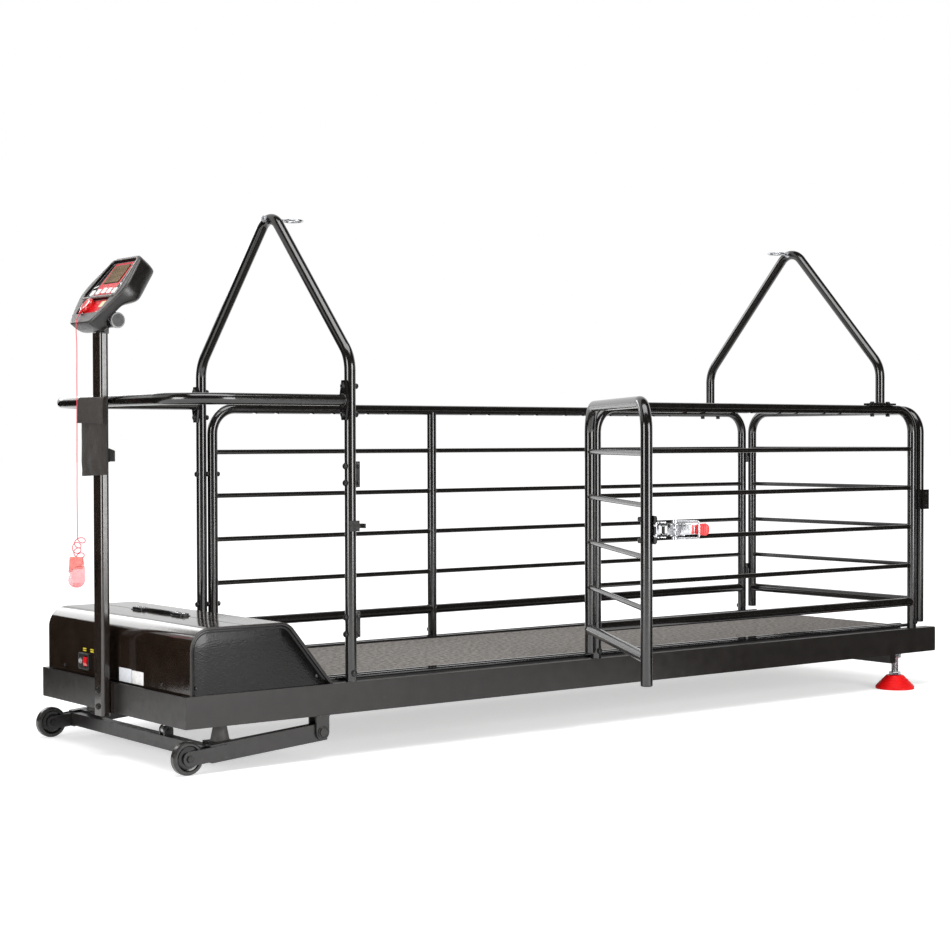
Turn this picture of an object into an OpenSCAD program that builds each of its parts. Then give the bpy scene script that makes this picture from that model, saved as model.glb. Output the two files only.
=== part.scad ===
// Dog treadmill: a long running base with side panels, two gates, two tether arches,
// a tilting console on a post and a powered incline under the motor end.
// Millimetres. +X runs from the motor end to the rear, +Y from the gate side to the far side,
// +Z up. The origin lies on the floor below the middle of the base.

/* [Base frame] */
// Length of the base, from the apron face to the rail ends
base_l = 2840; // [2500:10:3200]
// Width of the base over both rails
base_w = 816; // [760:2:900]
// Height of the side rails
rail_h = 80; // [74:1:100]
// Width of the side rails
rail_w = 40; // [36:1:50]
// Wall of the side rails
rail_wall = 3; // [2:0.5:5]
// Underside of the rails above the floor
ride_h = 115; // [112:1:125]
// Thickness of the front apron plate
apron_t = 4; // [2:0.5:6]
// Side of the square cross beams
beam = 28; // [20:1:30]

/* [Running deck] */
// Width of the running belt
belt_w = 610; // [540:2:620]
// Thickness of the running belt
belt_t = 2.5; // [1.5:0.1:3]
// Belt surface above the top of the rails
belt_rise = 5; // [3:0.5:8]
// Thickness of the deck board
deck_t = 18; // [12:1:22]
// Diameter of both rollers
roller_d = 60; // [50:1:64]
// Diameter of the roller axles
axle_d = 17; // [12:1:20]
// Front roller axis behind the apron face
front_roller_in = 230; // [215:1:250]
// Rear roller axis ahead of the rail ends
rear_roller_in = 90; // [80:1:110]

/* [Motor hood] */
// Front face of the hood behind the apron face
hood_in = 16; // [12:1:24]
// Foot of the sloping back of the hood behind the apron face
hood_l = 436; // [420:1:450]
// Length of the flat top, measured to its rear corner
hood_top_l = 301; // [285:1:310]
// Height of the hood above the rails
hood_h = 168; // [160:1:190]
// Thickness of the hood sheet
hood_t = 3; // [2:0.5:4]
// Bead along both edges of the hood sheet
hood_bead = 8; // [5:0.5:10]
// Radius of the front bend of the hood
hood_front_r = 55; // [30:1:70]
// Radius of the rear bend of the hood
hood_rear_r = 50; // [30:1:60]

/* [Tubes] */
// Diameter of the frame tubes
tube_d = 30; // [26:1:34]
// Wall of the frame tubes
tube_wall = 2; // [1.5:0.1:3]
// Diameter of the thin bars
bar_d = 14; // [10:1:16]
// Axis of the top tubes above the rails
panel_h = 725; // [640:5:760]
// Drop from bar to bar
bar_pitch = 129; // [110:1:135]
// Drop from the lowest thin bar to the bottom tube
low_drop = 121; // [80:1:125]
// Bend radius of the panel and gate corners
corner_r = 75; // [50:1:90]

/* [Arches] */
// Axis of the front arch behind the apron face
arch_in = 497; // [485:1:530]
// Height of the front arch bends above the rails
arch_bend_h = 848; // [820:1:900]
// Crossing point of the arch legs above the bends
arch_rise = 422; // [360:1:460]
// Bend radius at the posts
arch_post_r = 90; // [60:1:110]
// Bend radius at the top
arch_top_r = 60; // [45:1:80]
// Axis of the rear arch ahead of the rail ends
rear_arch_in = 262; // [240:1:320]
// Rear arch bends above the axis of the top tubes
rear_bend_h = 142; // [120:1:170]
// Mean diameter of the tether rings
ring_d = 54; // [40:1:60]
// Wire of the tether rings
ring_wire = 6; // [4:0.5:8]

/* [Side panels] */
// Gap between the front arch and the far panel
panel_gap = 7; // [5:0.5:12]
// Middle post of the far panel behind the apron face
far_mid_in = 1335; // [1200:5:1500]
// Front post of the near panel behind the apron face
near_front_in = 1346; // [1310:1:1380]
// Rear posts of both panels ahead of the rail ends
rear_post_in = 102; // [95:1:130]

/* [Gates] */
// Post spacing across the side gate hinge
gate_hinge_span = 60; // [56:1:66]
// Post spacing across the rear gate hinge
rear_hinge_span = 46; // [45:1:50]
// Gap between the front arch and the closed side gate
gate_latch_gap = 21; // [18:1:28]
// Opening angle of the side gate as shown
gate_open = 60; // [50:1:70]
// Foot of the gates above the rails
gate_foot = 22; // [16:1:30]
// Height of a hinge
hinge_h = 36; // [30:1:44]
// Hinge pin diameter
hinge_pin_d = 8; // [6:0.5:9]

/* [Handlebar] */
// Axis of the handlebar above the rails
handle_h = 735; // [700:1:760]
// Bend radius of the handlebar corners
handle_r = 137; // [90:1:160]

/* [Console] */
// Width of the console post
post_w = 50; // [44:1:60]
// Depth of the console post
post_t = 25; // [20:1:30]
// Gap between the post and the apron, filled by its foot pad
post_gap = 8.5; // [6:0.5:12]
// Top of the post above the floor
post_top = 1104; // [1060:1:1110]
// Console hinge axis above the top of the post
console_hinge_h = 33; // [28:1:40]
// Lean of the console face from the horizontal
console_tilt = 51.7; // [45:0.1:60]
// Console face above its hinge axis
face_h = 56; // [52:1:62]
// Depth of the console shell at its sides
shell_t = 34; // [28:1:36]

/* [Incline lift] */
// Lift pivot behind the apron face
pivot_in = 400; // [390:1:420]
// Lift pivot below the rails
pivot_drop = 43; // [38:1:46]
// Wheel diameter
wheel_d = 84; // [76:1:90]
// Wheel width
wheel_w = 23; // [18:1:24]
// Wheel axis behind the apron face
wheel_in = 14; // [8:1:24]
// Height of the lift arms
arm_h = 45; // [36:1:48]
// Width of the lift arms
arm_w = 25; // [22:1:28]

/* [Levelling feet] */
// Foot axis ahead of the rail ends
foot_in = 180; // [165:1:195]
// Diameter of a foot at the floor
foot_d = 126; // [100:1:135]
// Height of a foot
foot_h = 44; // [36:1:50]
// Diameter of the foot studs
stud_d = 24; // [16:1:26]

/* [Hidden] */
$fn = 48;

// Clearances and overruns
overrun = 1;
seat = 0.1;
running = 0.05;
apart = 0.3;
slim = 1;

// Frame places
function from_front(d) = d - base_l / 2;
function from_rear(d) = base_l / 2 - d;
half_w = base_w / 2;
inner_half = half_w - rail_w;
rail_top = ride_h + rail_h;
tube_r = tube_d / 2;
post_y = half_w - tube_r;
arch_x = from_front(arch_in);
rear_arch_x = from_rear(rear_arch_in);
far_front_x = arch_x + tube_d + panel_gap;
far_mid_x = from_front(far_mid_in);
near_front_x = from_front(near_front_in);
rear_post_x = from_rear(rear_post_in);
top_z = rail_top + panel_h;
bar_zs = [for (i = [1:4]) top_z - i * bar_pitch];
low_z = bar_zs[3] - low_drop;
black = [0.06, 0.06, 0.065];
steel = [0.75, 0.76, 0.78];
red = [0.8, 0.08, 0.1];

// Spigots that hold the post feet on the rails
spigot_h = 50;
spigot_d = tube_d - 2 * tube_wall - 2 * apart - slim;
foot_bolt_h = 22;

// Bolts: shank, head and nut
bolt_d = 8;
bolt_head_d = 14;
bolt_head_h = 5;
bolt_nut_d = 14;
bolt_nut_h = 6;

// Deck
belt_top = rail_top + belt_rise;
deck_top = belt_top - belt_t;
roller_z = deck_top - roller_d / 2;
front_roller_x = from_front(front_roller_in);
rear_roller_x = from_rear(rear_roller_in);
roller_over = 15;
roller_l = belt_w + 2 * roller_over;
roller_wall = 4;
roller_hub_t = 16;
deck_clear = 20;
deck_x0 = front_roller_x + roller_d / 2 + deck_clear;
deck_x1 = rear_roller_x - roller_d / 2 - deck_clear;
deck_gap = 0.5;
deck_beam_count = 5;
axle_reach = 12;
strip_gap = 4;
strip_h = 6;
strip_ridge_h = 2;
strip_end = 30;
strip_x0 = from_front(hood_l) - strip_end;
strip_x1 = rear_post_x + strip_end;

// Belly pan under the motor
pan_t = 3;
pan_l = 320;
pan_flange_h = 105;
pan_slot = 46;

// Drive
drive_in = 34;
drive_y = inner_half - drive_in;
pulley_w = 18;
roller_pulley_r = 44;
motor_pulley_r = 20;
motor_r = 45;
motor_l = 220;
motor_in = 118;
motor_x = from_front(motor_in);
motor_h = 86;
motor_z = ride_h + pan_t + motor_h;
motor_shaft_d = 14;
motor_gap = 12;
motor_y1 = drive_y - pulley_w / 2 - motor_gap;
motor_foot_w = 110;
motor_foot_l = 30;
belt_band_t = 3;
box_size = [130, 150, 70];
box_in = 60;
box_side = 38;
box_at = [from_front(box_in), -inner_half + box_side, ride_h + pan_t];

// Hood profile: front, top, slope and foot
hood_x0 = from_front(hood_in);
hood_x1 = from_front(hood_l);
hood_xc = from_front(hood_top_l);
hood_z1 = rail_top + hood_h;
hood_side = 6;
hood_half = half_w - hood_side;
hood_rim_w = 7;
hood_plate_t = 3;
hood_plate_in = 1.5;
hood_foot_gap = 13;
seam_in = 170;
seam_w = 3;
strap_foot = [26, 60, 7];
strap_feet_y = [-72, 150];
strap_link_w = 8;
strap_link_h = 5;
hood_slope = (hood_x1 - hood_xc) / hood_h;

// Lift linkage
pivot_x = from_front(pivot_in);
pivot_z = ride_h - pivot_drop;
axle_x = from_front(wheel_in);
axle_z = wheel_d / 2;
arm_l = norm([pivot_x - axle_x, pivot_z - axle_z]);
arm_slope = atan2(pivot_z - axle_z, pivot_x - axle_x);
ear_t = 6;
ear_gap = 1;
ear_w = 39;
arm_y1 = half_w - ear_t - ear_gap;
arm_y0 = arm_y1 - arm_w;
arm_wall = 2.5;
arm_front = 62;
arm_back = 16;
fork_t = 4;
fork_l = 110;
fork_h = 36;
pivot_d = 14;
wheel_bolt_d = 12;
cross_in = 85;
cross_x = from_front(cross_in);
cross_w = 30;
cross_h = 34;
cross_z = axle_z + (cross_x - axle_x) * tan(arm_slope);
gusset_in = 130;
gusset_x = from_front(gusset_in);
gusset_l = 64;
gusset_w = 60;
gusset_t = 8;
gusset_down = 3;
gusset_z = axle_z + (gusset_x - axle_x) * tan(arm_slope) + arm_h / 2 - gusset_t - gusset_down;
bumper_in = 28;
bumper_y = arm_y0 - bumper_in;
bumper_base_d = 50;
bumper_top_d = 32;
lug_y = -150;
lug_t = 6;
lug_gap = 18;
lug_pin_d = 10;
lug_r = 13;
lug_z = cross_z + cross_h / 2 + lug_r + overrun;
actuator_h = 143;
actuator_z = rail_top + actuator_h;
actuator_d = 40;
actuator_l = 138;
rod_d = 16;
rod_inside = 100;
rod_eye_t = 14;
rod_eye_clear = 3;
upright_t = 5;
upright_gap = 46;
upright_w = 34;

// Levelling feet
foot_x = from_rear(foot_in);
foot_y = half_w - rail_w / 2;
foot_top_d = 64;
foot_rim = 8;
stud_floor = 16;
nut_h = 14;
nut_d = 40;
foot_beam_in = 228;
foot_beam_x = from_rear(foot_beam_in);

// Switch panel on the hood front
switch_y = 168;
switch_h = 37;
switch_z = rail_top + switch_h;
bezel_w = 60;
bezel_h = 42;
bezel_t = 8;
rocker_w = 20;
rocker_h = 30;
rocker_r = 22;
rocker_off = 12;
rocker_y = switch_y - rocker_off;
rocker_gap = 0.4;
reset_off = 18;
reset_y = switch_y + reset_off;
reset_d = 11;
reset_out = 4;
inlet_d = 22;
inlet_in = 150;
inlet_x = from_front(inlet_in);
inlet_h = 36;
inlet_z = rail_top + inlet_h;

// Handlebar
handle_z = rail_top + handle_h;
post_x1 = from_front(-post_gap);
post_x0 = post_x1 - post_t;
handle_x = post_x1 + tube_r + apart;
flange_t = 6;
flange_w = 34;
flange_tip_w = 18;
flange_h = 104;
flange_bolt = 37;
flange_x = arch_x - tube_r - apart;

// Console
post_over = 7;
post_foot = ride_h - post_over;
post_r = 8;
post_wall = 2;
post_bolt_low = 17;
post_bolt_high = 59;
post_bolt_zs = [ride_h + post_bolt_low, ride_h + post_bolt_high];
console_ahead = 5;
hinge_x = from_front(-console_ahead);
console_z = post_top + console_hinge_h;
yoke_half = 34;
yoke_r = 18;
yoke_plug_h = 40;
yoke_lid = 3;
yoke_neck = 16;
lug_half = 62;
cap_half = 70;
cap_d = 40;
tilt_pin_d = 10;
bezel_deep = 6;
shell_back = face_h - shell_t - bezel_deep;
bezel_in = 2;
face_x0 = -52;
face_x1 = 176;
face_mid_x = 60;
face_low_x = -22;
face_half_low = 60;
face_half_chin = 82;
face_half_mid = 128;
face_half_top = 78;
face_low_r = 26;
face_chin_r = 50;
face_mid_r = 70;
face_top_r = 16;
bulge_x0 = 62;
bulge_t = 18;
window_x = [40, 164];
lower_window_x = [-18, 31];
window_r = 12;
lower_window_r = 8;
lens_x = [90, 149];
lens_half = 42;
lens_t = 2;
lens_r = 3;
key_x = 61;
key_pitch = 31;
key_fan = 2;
key_l = 18;
key_w = 20;
key_h = 7;
key_sink = 4;
key_travel = 1.5;
safety_x = 8;
safety_y = 27;
safety_d = 44;
safety_h = 13;
safety_lug_w = 8;

// Pouch on the post
pouch_w = 104;
pouch_h = 200;
pouch_t = 14;
pouch_up = 542;
pouch_z = rail_top + pouch_up;
pouch_r = 12;
flap_h = 68;
flap_t = 3;
flap_over = 2;
strap_h = 36;
strap_t = 3;
strap_up = 33;
strap_z = pouch_z + strap_up;

// Cord: its hanging route as steps from the lug of the safety key, then loops from a formula
cord_d = 2.4;
cord_sides = 6;
cord_drop = [
    [-8, -3, -10], [-15, -7, -21], [-19, -11, -35], [-21, -14, -53], [-21, -15, -77], [-21, -15, -120],
    [-21, -15, -160], [-21, -15, -210], [-21, -15, -260], [-21, -15, -310], [-21, -15, -360],
    [-21, -15, -410], [-21, -15, -460], [-21, -15, -510], [-21, -15, -550], [-21, -15, -580],
    [-21, -15, -597]
];
loop_count = 4;
loop_steps = 24;
loop_w = 26;
loop_h = 44;
loop_pitch = 3.4;
loop_lead = 11;
cord_tail = 28;
clip_over = 3;
clip_h = 80;
clip_w = 44;
clip_t = 12;
clip_top_w = 34;
clip_top_r = 4;
clip_r = 20;

// Gates
gate_pin_x = near_front_x - gate_hinge_span / 2;
gate_free = gate_pin_x - (arch_x + tube_d + gate_latch_gap);
hinge_down = 29;
hinge_up = 70;
hinge_zs = [bar_zs[0] - hinge_down, low_z + hinge_up];
knuckle_r = 7;
leaf_t = 9;
rear_gate_x = rear_post_x + rear_hinge_span;
rear_pin_x = rear_post_x + rear_hinge_span / 2;
rear_gate_in = 7;
rear_gate_half = post_y - rear_gate_in;
gate_z0 = rail_top + gate_foot;

// Toggle clamp on the gate post, in the frame of the closed gate
clamp_down = 60;
clamp_z = bar_zs[1] - clamp_down;
clamp_plate_h = 70;
clamp_plate_w = 36;
clamp_plate_t = 5;
clamp_ear_l = 30;
clamp_ear_t = 4;
clamp_ear_gap = 26;
clamp_pin_d = 8;
clamp_pin_out = 22;
lever_t = 4;
lever_l = 66;
lever_w = 16;
grip_l = 50;
grip_w = 16;
grip_h = 30;
hook_wire = 6;
hook_pin_out = 26;
hook_l = 62;
hook_off = 12;

// Rear latch block and keeper
latch_h = 65;
latch_w = 30;
latch_t = 14;
latch_up = 308;
latch_z = low_z + latch_up;

// Stops and catch on the near arch post
stop_lap = 5;
stop_l = gate_latch_gap + stop_lap;
stop_h = 68;
stop_pitch = 22;
stop_t = 4;
stop_down = 55;
stop_up = 58;
stop_zs = [bar_zs[0] - stop_down, low_z + stop_up];
catch_w = 32;
catch_h = 28;
catch_t = 4;
catch_lip = 13;
catch_reach = 27;
catch_arm_h = 12;

// Tether eyes
eye_reach = 88;
eye_nut_h = 9;
eye_nut_d = 18;
eye_thread = 2;

// Geometry helpers
function unit(v) = v / norm(v);
function turn_angle(a, b) = acos(max(-1, min(1, a * b)));
// Straight run left after the bends at both ends of side i
function bend_cut(pts, i, r) = i == 0 || i == len(pts) - 1 ? 0
    : r[i] * tan(turn_angle(unit(pts[i] - pts[i - 1]), unit(pts[i + 1] - pts[i])) / 2);
function square_to(d) = abs(d.z) < 0.9 ? unit(cross([0, 0, 1], d)) : unit(cross([0, 1, 0], d));

module along(a, b) {
    d = unit(b - a);
    e = square_to(d);
    f = cross(d, e);
    multmatrix([[e.x, f.x, d.x, a.x], [e.y, f.y, d.y, a.y], [e.z, f.z, d.z, a.z], [0, 0, 0, 1]])
        children();
}

module rod(a, b, d) {
    along(a, b) cylinder(d = d, h = norm(b - a));
}

// Round bar along points, with a bend radius for each point and, if asked for, a thin
// collar where each bend meets its straights
module bent_rod(pts, r, d, collar = 0) {
    for (i = [0:len(pts) - 2]) {
        u = unit(pts[i + 1] - pts[i]);
        rod(pts[i] + u * bend_cut(pts, i, r), pts[i + 1] - u * bend_cut(pts, i + 1, r), d);
    }
    for (i = [1:len(pts) - 2]) {
        u = unit(pts[i] - pts[i - 1]);
        w = unit(pts[i + 1] - pts[i]);
        m = unit(cross(u, w));
        e = cross(m, u);
        c = pts[i] - u * bend_cut(pts, i, r) + e * r[i];
        multmatrix([[-e.x, u.x, m.x, c.x], [-e.y, u.y, m.y, c.y], [-e.z, u.z, m.z, c.z], [0, 0, 0, 1]])
            rotate_extrude(angle = turn_angle(u, w)) translate([r[i], 0]) circle(d = d);
        if (collar > 0) for (v = [u, -w]) {
            s = pts[i] - v * bend_cut(pts, i, r);
            rod(s - v * overrun, s + v * overrun, d + 2 * collar);
        }
    }
}

// The same points with both ends moved outwards by e
function stretched(pts, e) = let (n = len(pts) - 1) [
    for (i = [0:n]) i == 0 ? pts[0] - unit(pts[1] - pts[0]) * e
        : i == n ? pts[n] + unit(pts[n] - pts[n - 1]) * e : pts[i]
];

module bent_tube(pts, r, collar = 0) {
    difference() {
        bent_rod(pts, r, tube_d, collar);
        bent_rod(stretched(pts, overrun), r, tube_d - 2 * tube_wall, collar);
    }
}

module block(low, high) {
    translate(low) cube(high - low);
}

// A rounded outline: one radius and n steps for every corner
function arc_at(p, v, q, r, n) = let (
    a = unit(v - p), b = unit(q - v), turn = turn_angle(a, b),
    side = sign(a.x * b.y - a.y * b.x), s = v - a * r * tan(turn / 2),
    c = s + side * r * [-a.y, a.x], w = s - c
) r == 0 ? [v] : [for (i = [0:n]) let (t = side * turn * i / n)
    c + [w.x * cos(t) - w.y * sin(t), w.x * sin(t) + w.y * cos(t)]];
function rounded(pts, radii, n = 6) = let (k = len(pts)) [
    for (i = [0:k - 1]) each arc_at(pts[(i + k - 1) % k], pts[i], pts[(i + 1) % k], radii[i], n)
];

// Bolt along +Z: head below z = 0, grip above, nut on top
module bolt(grip, nut = true) {
    translate([0, 0, -bolt_head_h]) cylinder(d = bolt_head_d, h = bolt_head_h);
    cylinder(d = bolt_d, h = grip + (nut ? bolt_nut_h + overrun : 0));
    if (nut) translate([0, 0, grip]) cylinder(d = bolt_nut_d, h = bolt_nut_h, $fn = 6);
}

module bolt_hole(grip) {
    translate([0, 0, -overrun]) cylinder(d = bolt_d + 2 * seat, h = grip + 2 * overrun);
}

module to_x() rotate([0, 90, 0]) children();
module to_y(side = 1) rotate([-90 * side, 0, 0]) children();

// Where the frame bolts sit; holes and bolts share these places
handle_bolt_grip = flange_t + apart + tube_d;
spacer_bolt_zs = [bar_zs[1] + bar_pitch / 2, bar_zs[3] - low_drop / 2];
spacer_grip = 2 * tube_d + panel_gap;
rear_flange_l = 124;
rear_flange_w = 30;
rear_flange_t = 6;
rear_bolt = 38;
rear_flange_z = top_z + tube_r + apart;
post_grip = post_t + post_gap + apron_t;
bar_bolt_grip = tube_d + apart + post_t / 2;

module handle_bolts() {
    for (side = [-1, 1], up = [-1, 1])
        translate([flange_x - flange_t, side * post_y, handle_z + up * flange_bolt]) to_x() children();
}

module spacer_bolts() {
    for (z = spacer_bolt_zs) translate([arch_x - tube_r, post_y, z]) to_x() children();
}

module rear_flange_bolts() {
    for (side = [-1, 1], way = [-1, 1])
        translate([rear_arch_x + way * rear_bolt, side * post_y, rear_flange_z + rear_flange_t])
            rotate([180, 0, 0]) children();
}

module apron_bolts() {
    for (z = post_bolt_zs) translate([post_x0, 0, z]) to_x() children();
}

module bar_bolt() {
    translate([handle_x + tube_r, 0, handle_z]) rotate([0, -90, 0]) children();
}

module foot_bolts(side, xs) {
    for (x = xs) translate([x, side * half_w, rail_top + foot_bolt_h]) to_y(-side) children();
}

module stop_bolts() {
    for (z = stop_zs, way = [-1, 1])
        translate([arch_x - tube_r, -post_y, z + way * stop_pitch]) to_x() children();
}

module arch_foot_bolts() {
    for (side = [-1, 1]) foot_bolts(side, [arch_x]) children();
}

near_feet = [near_front_x, rear_post_x];
far_feet = [far_front_x, far_mid_x, rear_post_x];

// Base frame
module side_rail(side) {
    y0 = side < 0 ? -half_w : inner_half;
    difference() {
        block([from_front(apron_t), y0, ride_h], [from_rear(0), y0 + rail_w, rail_top]);
        block([from_front(apron_t) + rail_wall, y0 + rail_wall, ride_h + rail_wall],
              [from_rear(rail_wall), y0 + rail_w - rail_wall, rail_top - rail_wall]);
        for (x = [front_roller_x, rear_roller_x])
            translate([x, side * (inner_half - overrun), roller_z]) to_y(side)
                cylinder(d = axle_d + 2 * seat, h = rail_wall + 2 * overrun);
        translate([foot_x, side * foot_y, ride_h - overrun])
            cylinder(d = stud_d + 2 * seat, h = rail_wall + 2 * overrun);
    }
}

module side_rail_near() { color(black) side_rail(-1); }
module side_rail_far() { color(black) side_rail(1); }

module front_apron() {
    color(black) difference() {
        block([from_front(0), -half_w, ride_h], [from_front(apron_t), half_w, rail_top]);
        apron_bolts() bolt_hole(post_grip);
    }
}

module cross_members() {
    color(black) {
        for (i = [0:deck_beam_count - 1]) {
            x = deck_x0 + beam + i * (deck_x1 - deck_x0 - 3 * beam) / (deck_beam_count - 1);
            block([x, -inner_half, deck_top - deck_t - beam], [x + beam, inner_half, deck_top - deck_t]);
        }
        block([foot_beam_x, -half_w, ride_h - beam], [foot_beam_x + beam, half_w, ride_h]);
    }
}

module belly_pan() {
    x0 = from_front(apron_t);
    color(black) difference() {
        union() {
            block([x0, -inner_half, ride_h], [from_front(pan_l), inner_half, ride_h + pan_t]);
            block([hood_x0 + hood_t + seat, -inner_half, ride_h],
                  [hood_x0 + 2 * hood_t + seat, inner_half, ride_h + pan_flange_h]);
        }
        translate([cross_x, lug_y, ride_h]) cube(pan_slot, center = true);
        apron_bolts() bolt_hole(post_grip + pan_slot);
    }
}

module running_deck() {
    color([0.45, 0.36, 0.27])
        block([deck_x0, -inner_half + deck_gap, deck_top - deck_t],
              [deck_x1, inner_half - deck_gap, deck_top]);
}

// Stadium across both rollers, grown by g beyond the roller radius
module belt_outline(g) {
    r = roller_d / 2 + g;
    for (x = [front_roller_x, rear_roller_x]) translate([x, roller_z]) circle(r = r);
    translate([front_roller_x, roller_z - r]) square([rear_roller_x - front_roller_x, 2 * r]);
}

module running_belt() {
    color([0.2, 0.19, 0.18]) translate([0, belt_w / 2, 0]) rotate([90, 0, 0])
        linear_extrude(belt_w) difference() {
            belt_outline(belt_t);
            belt_outline(apart);
        }
}

module foot_strips() {
    y0 = belt_w / 2 + strip_gap;
    w = inner_half - y0;
    rib = w / 8;
    color([0.12, 0.12, 0.13]) for (side = [-1, 1]) mirror([0, side < 0 ? 1 : 0, 0]) {
        block([strip_x0, y0, deck_top], [strip_x1, inner_half, deck_top + strip_h]);
        for (i = [1, 5]) block([strip_x0, y0 + i * rib, deck_top + strip_h],
                               [strip_x1, y0 + (i + 1) * rib, deck_top + strip_h + strip_ridge_h]);
    }
}

module roller_axles() {
    l = 2 * (inner_half + axle_reach);
    color(steel) for (x = [front_roller_x, rear_roller_x])
        translate([x, -l / 2, roller_z]) to_y() cylinder(d = axle_d, h = l);
}

// Roller tube with a bored hub at each end
module roller() {
    difference() {
        cylinder(d = roller_d, h = roller_l, center = true);
        cylinder(d = roller_d - 2 * roller_wall, h = roller_l - 2 * roller_hub_t, center = true);
        cylinder(d = axle_d + 2 * running, h = roller_l + 2 * overrun, center = true);
    }
}

module front_roller() {
    color(steel) translate([front_roller_x, 0, roller_z]) to_y() {
        roller();
        difference() {
            translate([0, 0, roller_l / 2]) cylinder(r = axle_d, h = drive_y - roller_l / 2 - pulley_w / 2);
            translate([0, 0, roller_l / 2 - overrun])
                cylinder(d = axle_d + 2 * running, h = drive_y);
        }
        difference() {
            translate([0, 0, drive_y]) cylinder(r = roller_pulley_r, h = pulley_w, center = true);
            translate([0, 0, drive_y - pulley_w]) cylinder(d = axle_d + 2 * running, h = 2 * pulley_w);
        }
    }
}

module rear_roller() {
    color(steel) translate([rear_roller_x, 0, roller_z]) to_y() roller();
}

// Drive
module drive_motor() {
    y0 = motor_y1 - motor_l;
    color([0.25, 0.26, 0.28]) difference() {
        union() {
            translate([motor_x, y0, motor_z]) to_y() cylinder(r = motor_r, h = motor_l);
            for (y = [y0 + motor_foot_l, motor_y1 - 2 * motor_foot_l])
                block([motor_x - motor_foot_w / 2, y, ride_h + pan_t],
                      [motor_x + motor_foot_w / 2, y + motor_foot_l, motor_z - motor_r / 2]);
        }
        translate([motor_x, motor_y1 - motor_l / 2, motor_z]) to_y()
            cylinder(d = motor_shaft_d + 2 * running, h = motor_l);
    }
}

module motor_pulley() {
    color(steel) translate([motor_x, drive_y, motor_z]) to_y() {
        cylinder(r = motor_pulley_r, h = pulley_w, center = true);
        translate([0, 0, motor_y1 - motor_l / 3 - drive_y])
            cylinder(d = motor_shaft_d, h = drive_y - motor_y1 + motor_l / 3);
    }
}

// Outline of a band round the motor pulley and the roller pulley, grown by g
module drive_outline(g) {
    a = [motor_x, motor_z];
    b = [front_roller_x, roller_z];
    r1 = motor_pulley_r + g;
    r2 = roller_pulley_r + g;
    d = norm(b - a);
    lean = atan2(b.y - a.y, b.x - a.x);
    spread = acos((r1 - r2) / d);
    function rim(c, r, t) = c + r * [cos(lean + t), sin(lean + t)];
    translate(a) circle(r = r1);
    translate(b) circle(r = r2);
    polygon([rim(a, r1, spread), rim(a, r1, -spread), rim(b, r2, -spread), rim(b, r2, spread)]);
}

module drive_belt() {
    w = pulley_w - 4 * overrun;
    color(black) translate([0, drive_y + w / 2, 0]) rotate([90, 0, 0]) linear_extrude(w) difference() {
        drive_outline(apart + belt_band_t);
        drive_outline(apart);
    }
}

module control_box() {
    rib_h = box_size.z / 14;
    color([0.3, 0.3, 0.32]) {
        block(box_at, box_at + box_size - [0, 0, rib_h]);
        for (i = [0:2:10]) translate(box_at + [0, i * box_size.y / 11, box_size.z - rib_h])
            cube([box_size.x, box_size.y / 11, rib_h]);
    }
}

// Incline lift
module in_arm() {
    translate([pivot_x, 0, pivot_z]) rotate([0, -arm_slope, 0]) children();
}

module lift_brackets() {
    ear_h = ride_h - pivot_z;
    color(black) {
        for (side = [-1, 1], y = [arm_y1 + ear_gap, arm_y0 - ear_gap - ear_t])
            translate([pivot_x, side * (y + ear_t / 2), pivot_z]) rotate([90, 0, 0]) difference() {
                union() {
                    cylinder(d = ear_w, h = ear_t, center = true);
                    translate([0, ear_h / 2, 0]) cube([ear_w, ear_h, ear_t], center = true);
                }
                cylinder(d = pivot_d + 2 * seat, h = 2 * ear_t, center = true);
            }
        for (side = [-1, 1]) translate([pivot_x, side * half_w, pivot_z]) to_y(-side) {
            translate([0, 0, -bolt_head_h])
                cylinder(d = 2 * pivot_d - bolt_head_h, h = bolt_head_h, $fn = 6);
            cylinder(d = pivot_d, h = arm_w + 2 * ear_t + 2 * ear_gap + bolt_head_h);
        }
        for (way = [-1, 1]) difference() {
            y = lug_y + way * (upright_gap + upright_t) / 2;
            block([cross_x - upright_w / 2, y - upright_t / 2, ride_h + pan_t],
                  [cross_x + upright_w / 2, y + upright_t / 2, actuator_z + upright_w / 2]);
            translate([cross_x, y, actuator_z]) rotate([90, 0, 0])
                cylinder(d = lug_pin_d + 2 * seat, h = 2 * upright_t, center = true);
        }
        translate([cross_x, lug_y, actuator_z]) rotate([90, 0, 0])
            cylinder(d = lug_pin_d, h = upright_gap + 4 * upright_t, center = true);
    }
}

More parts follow.
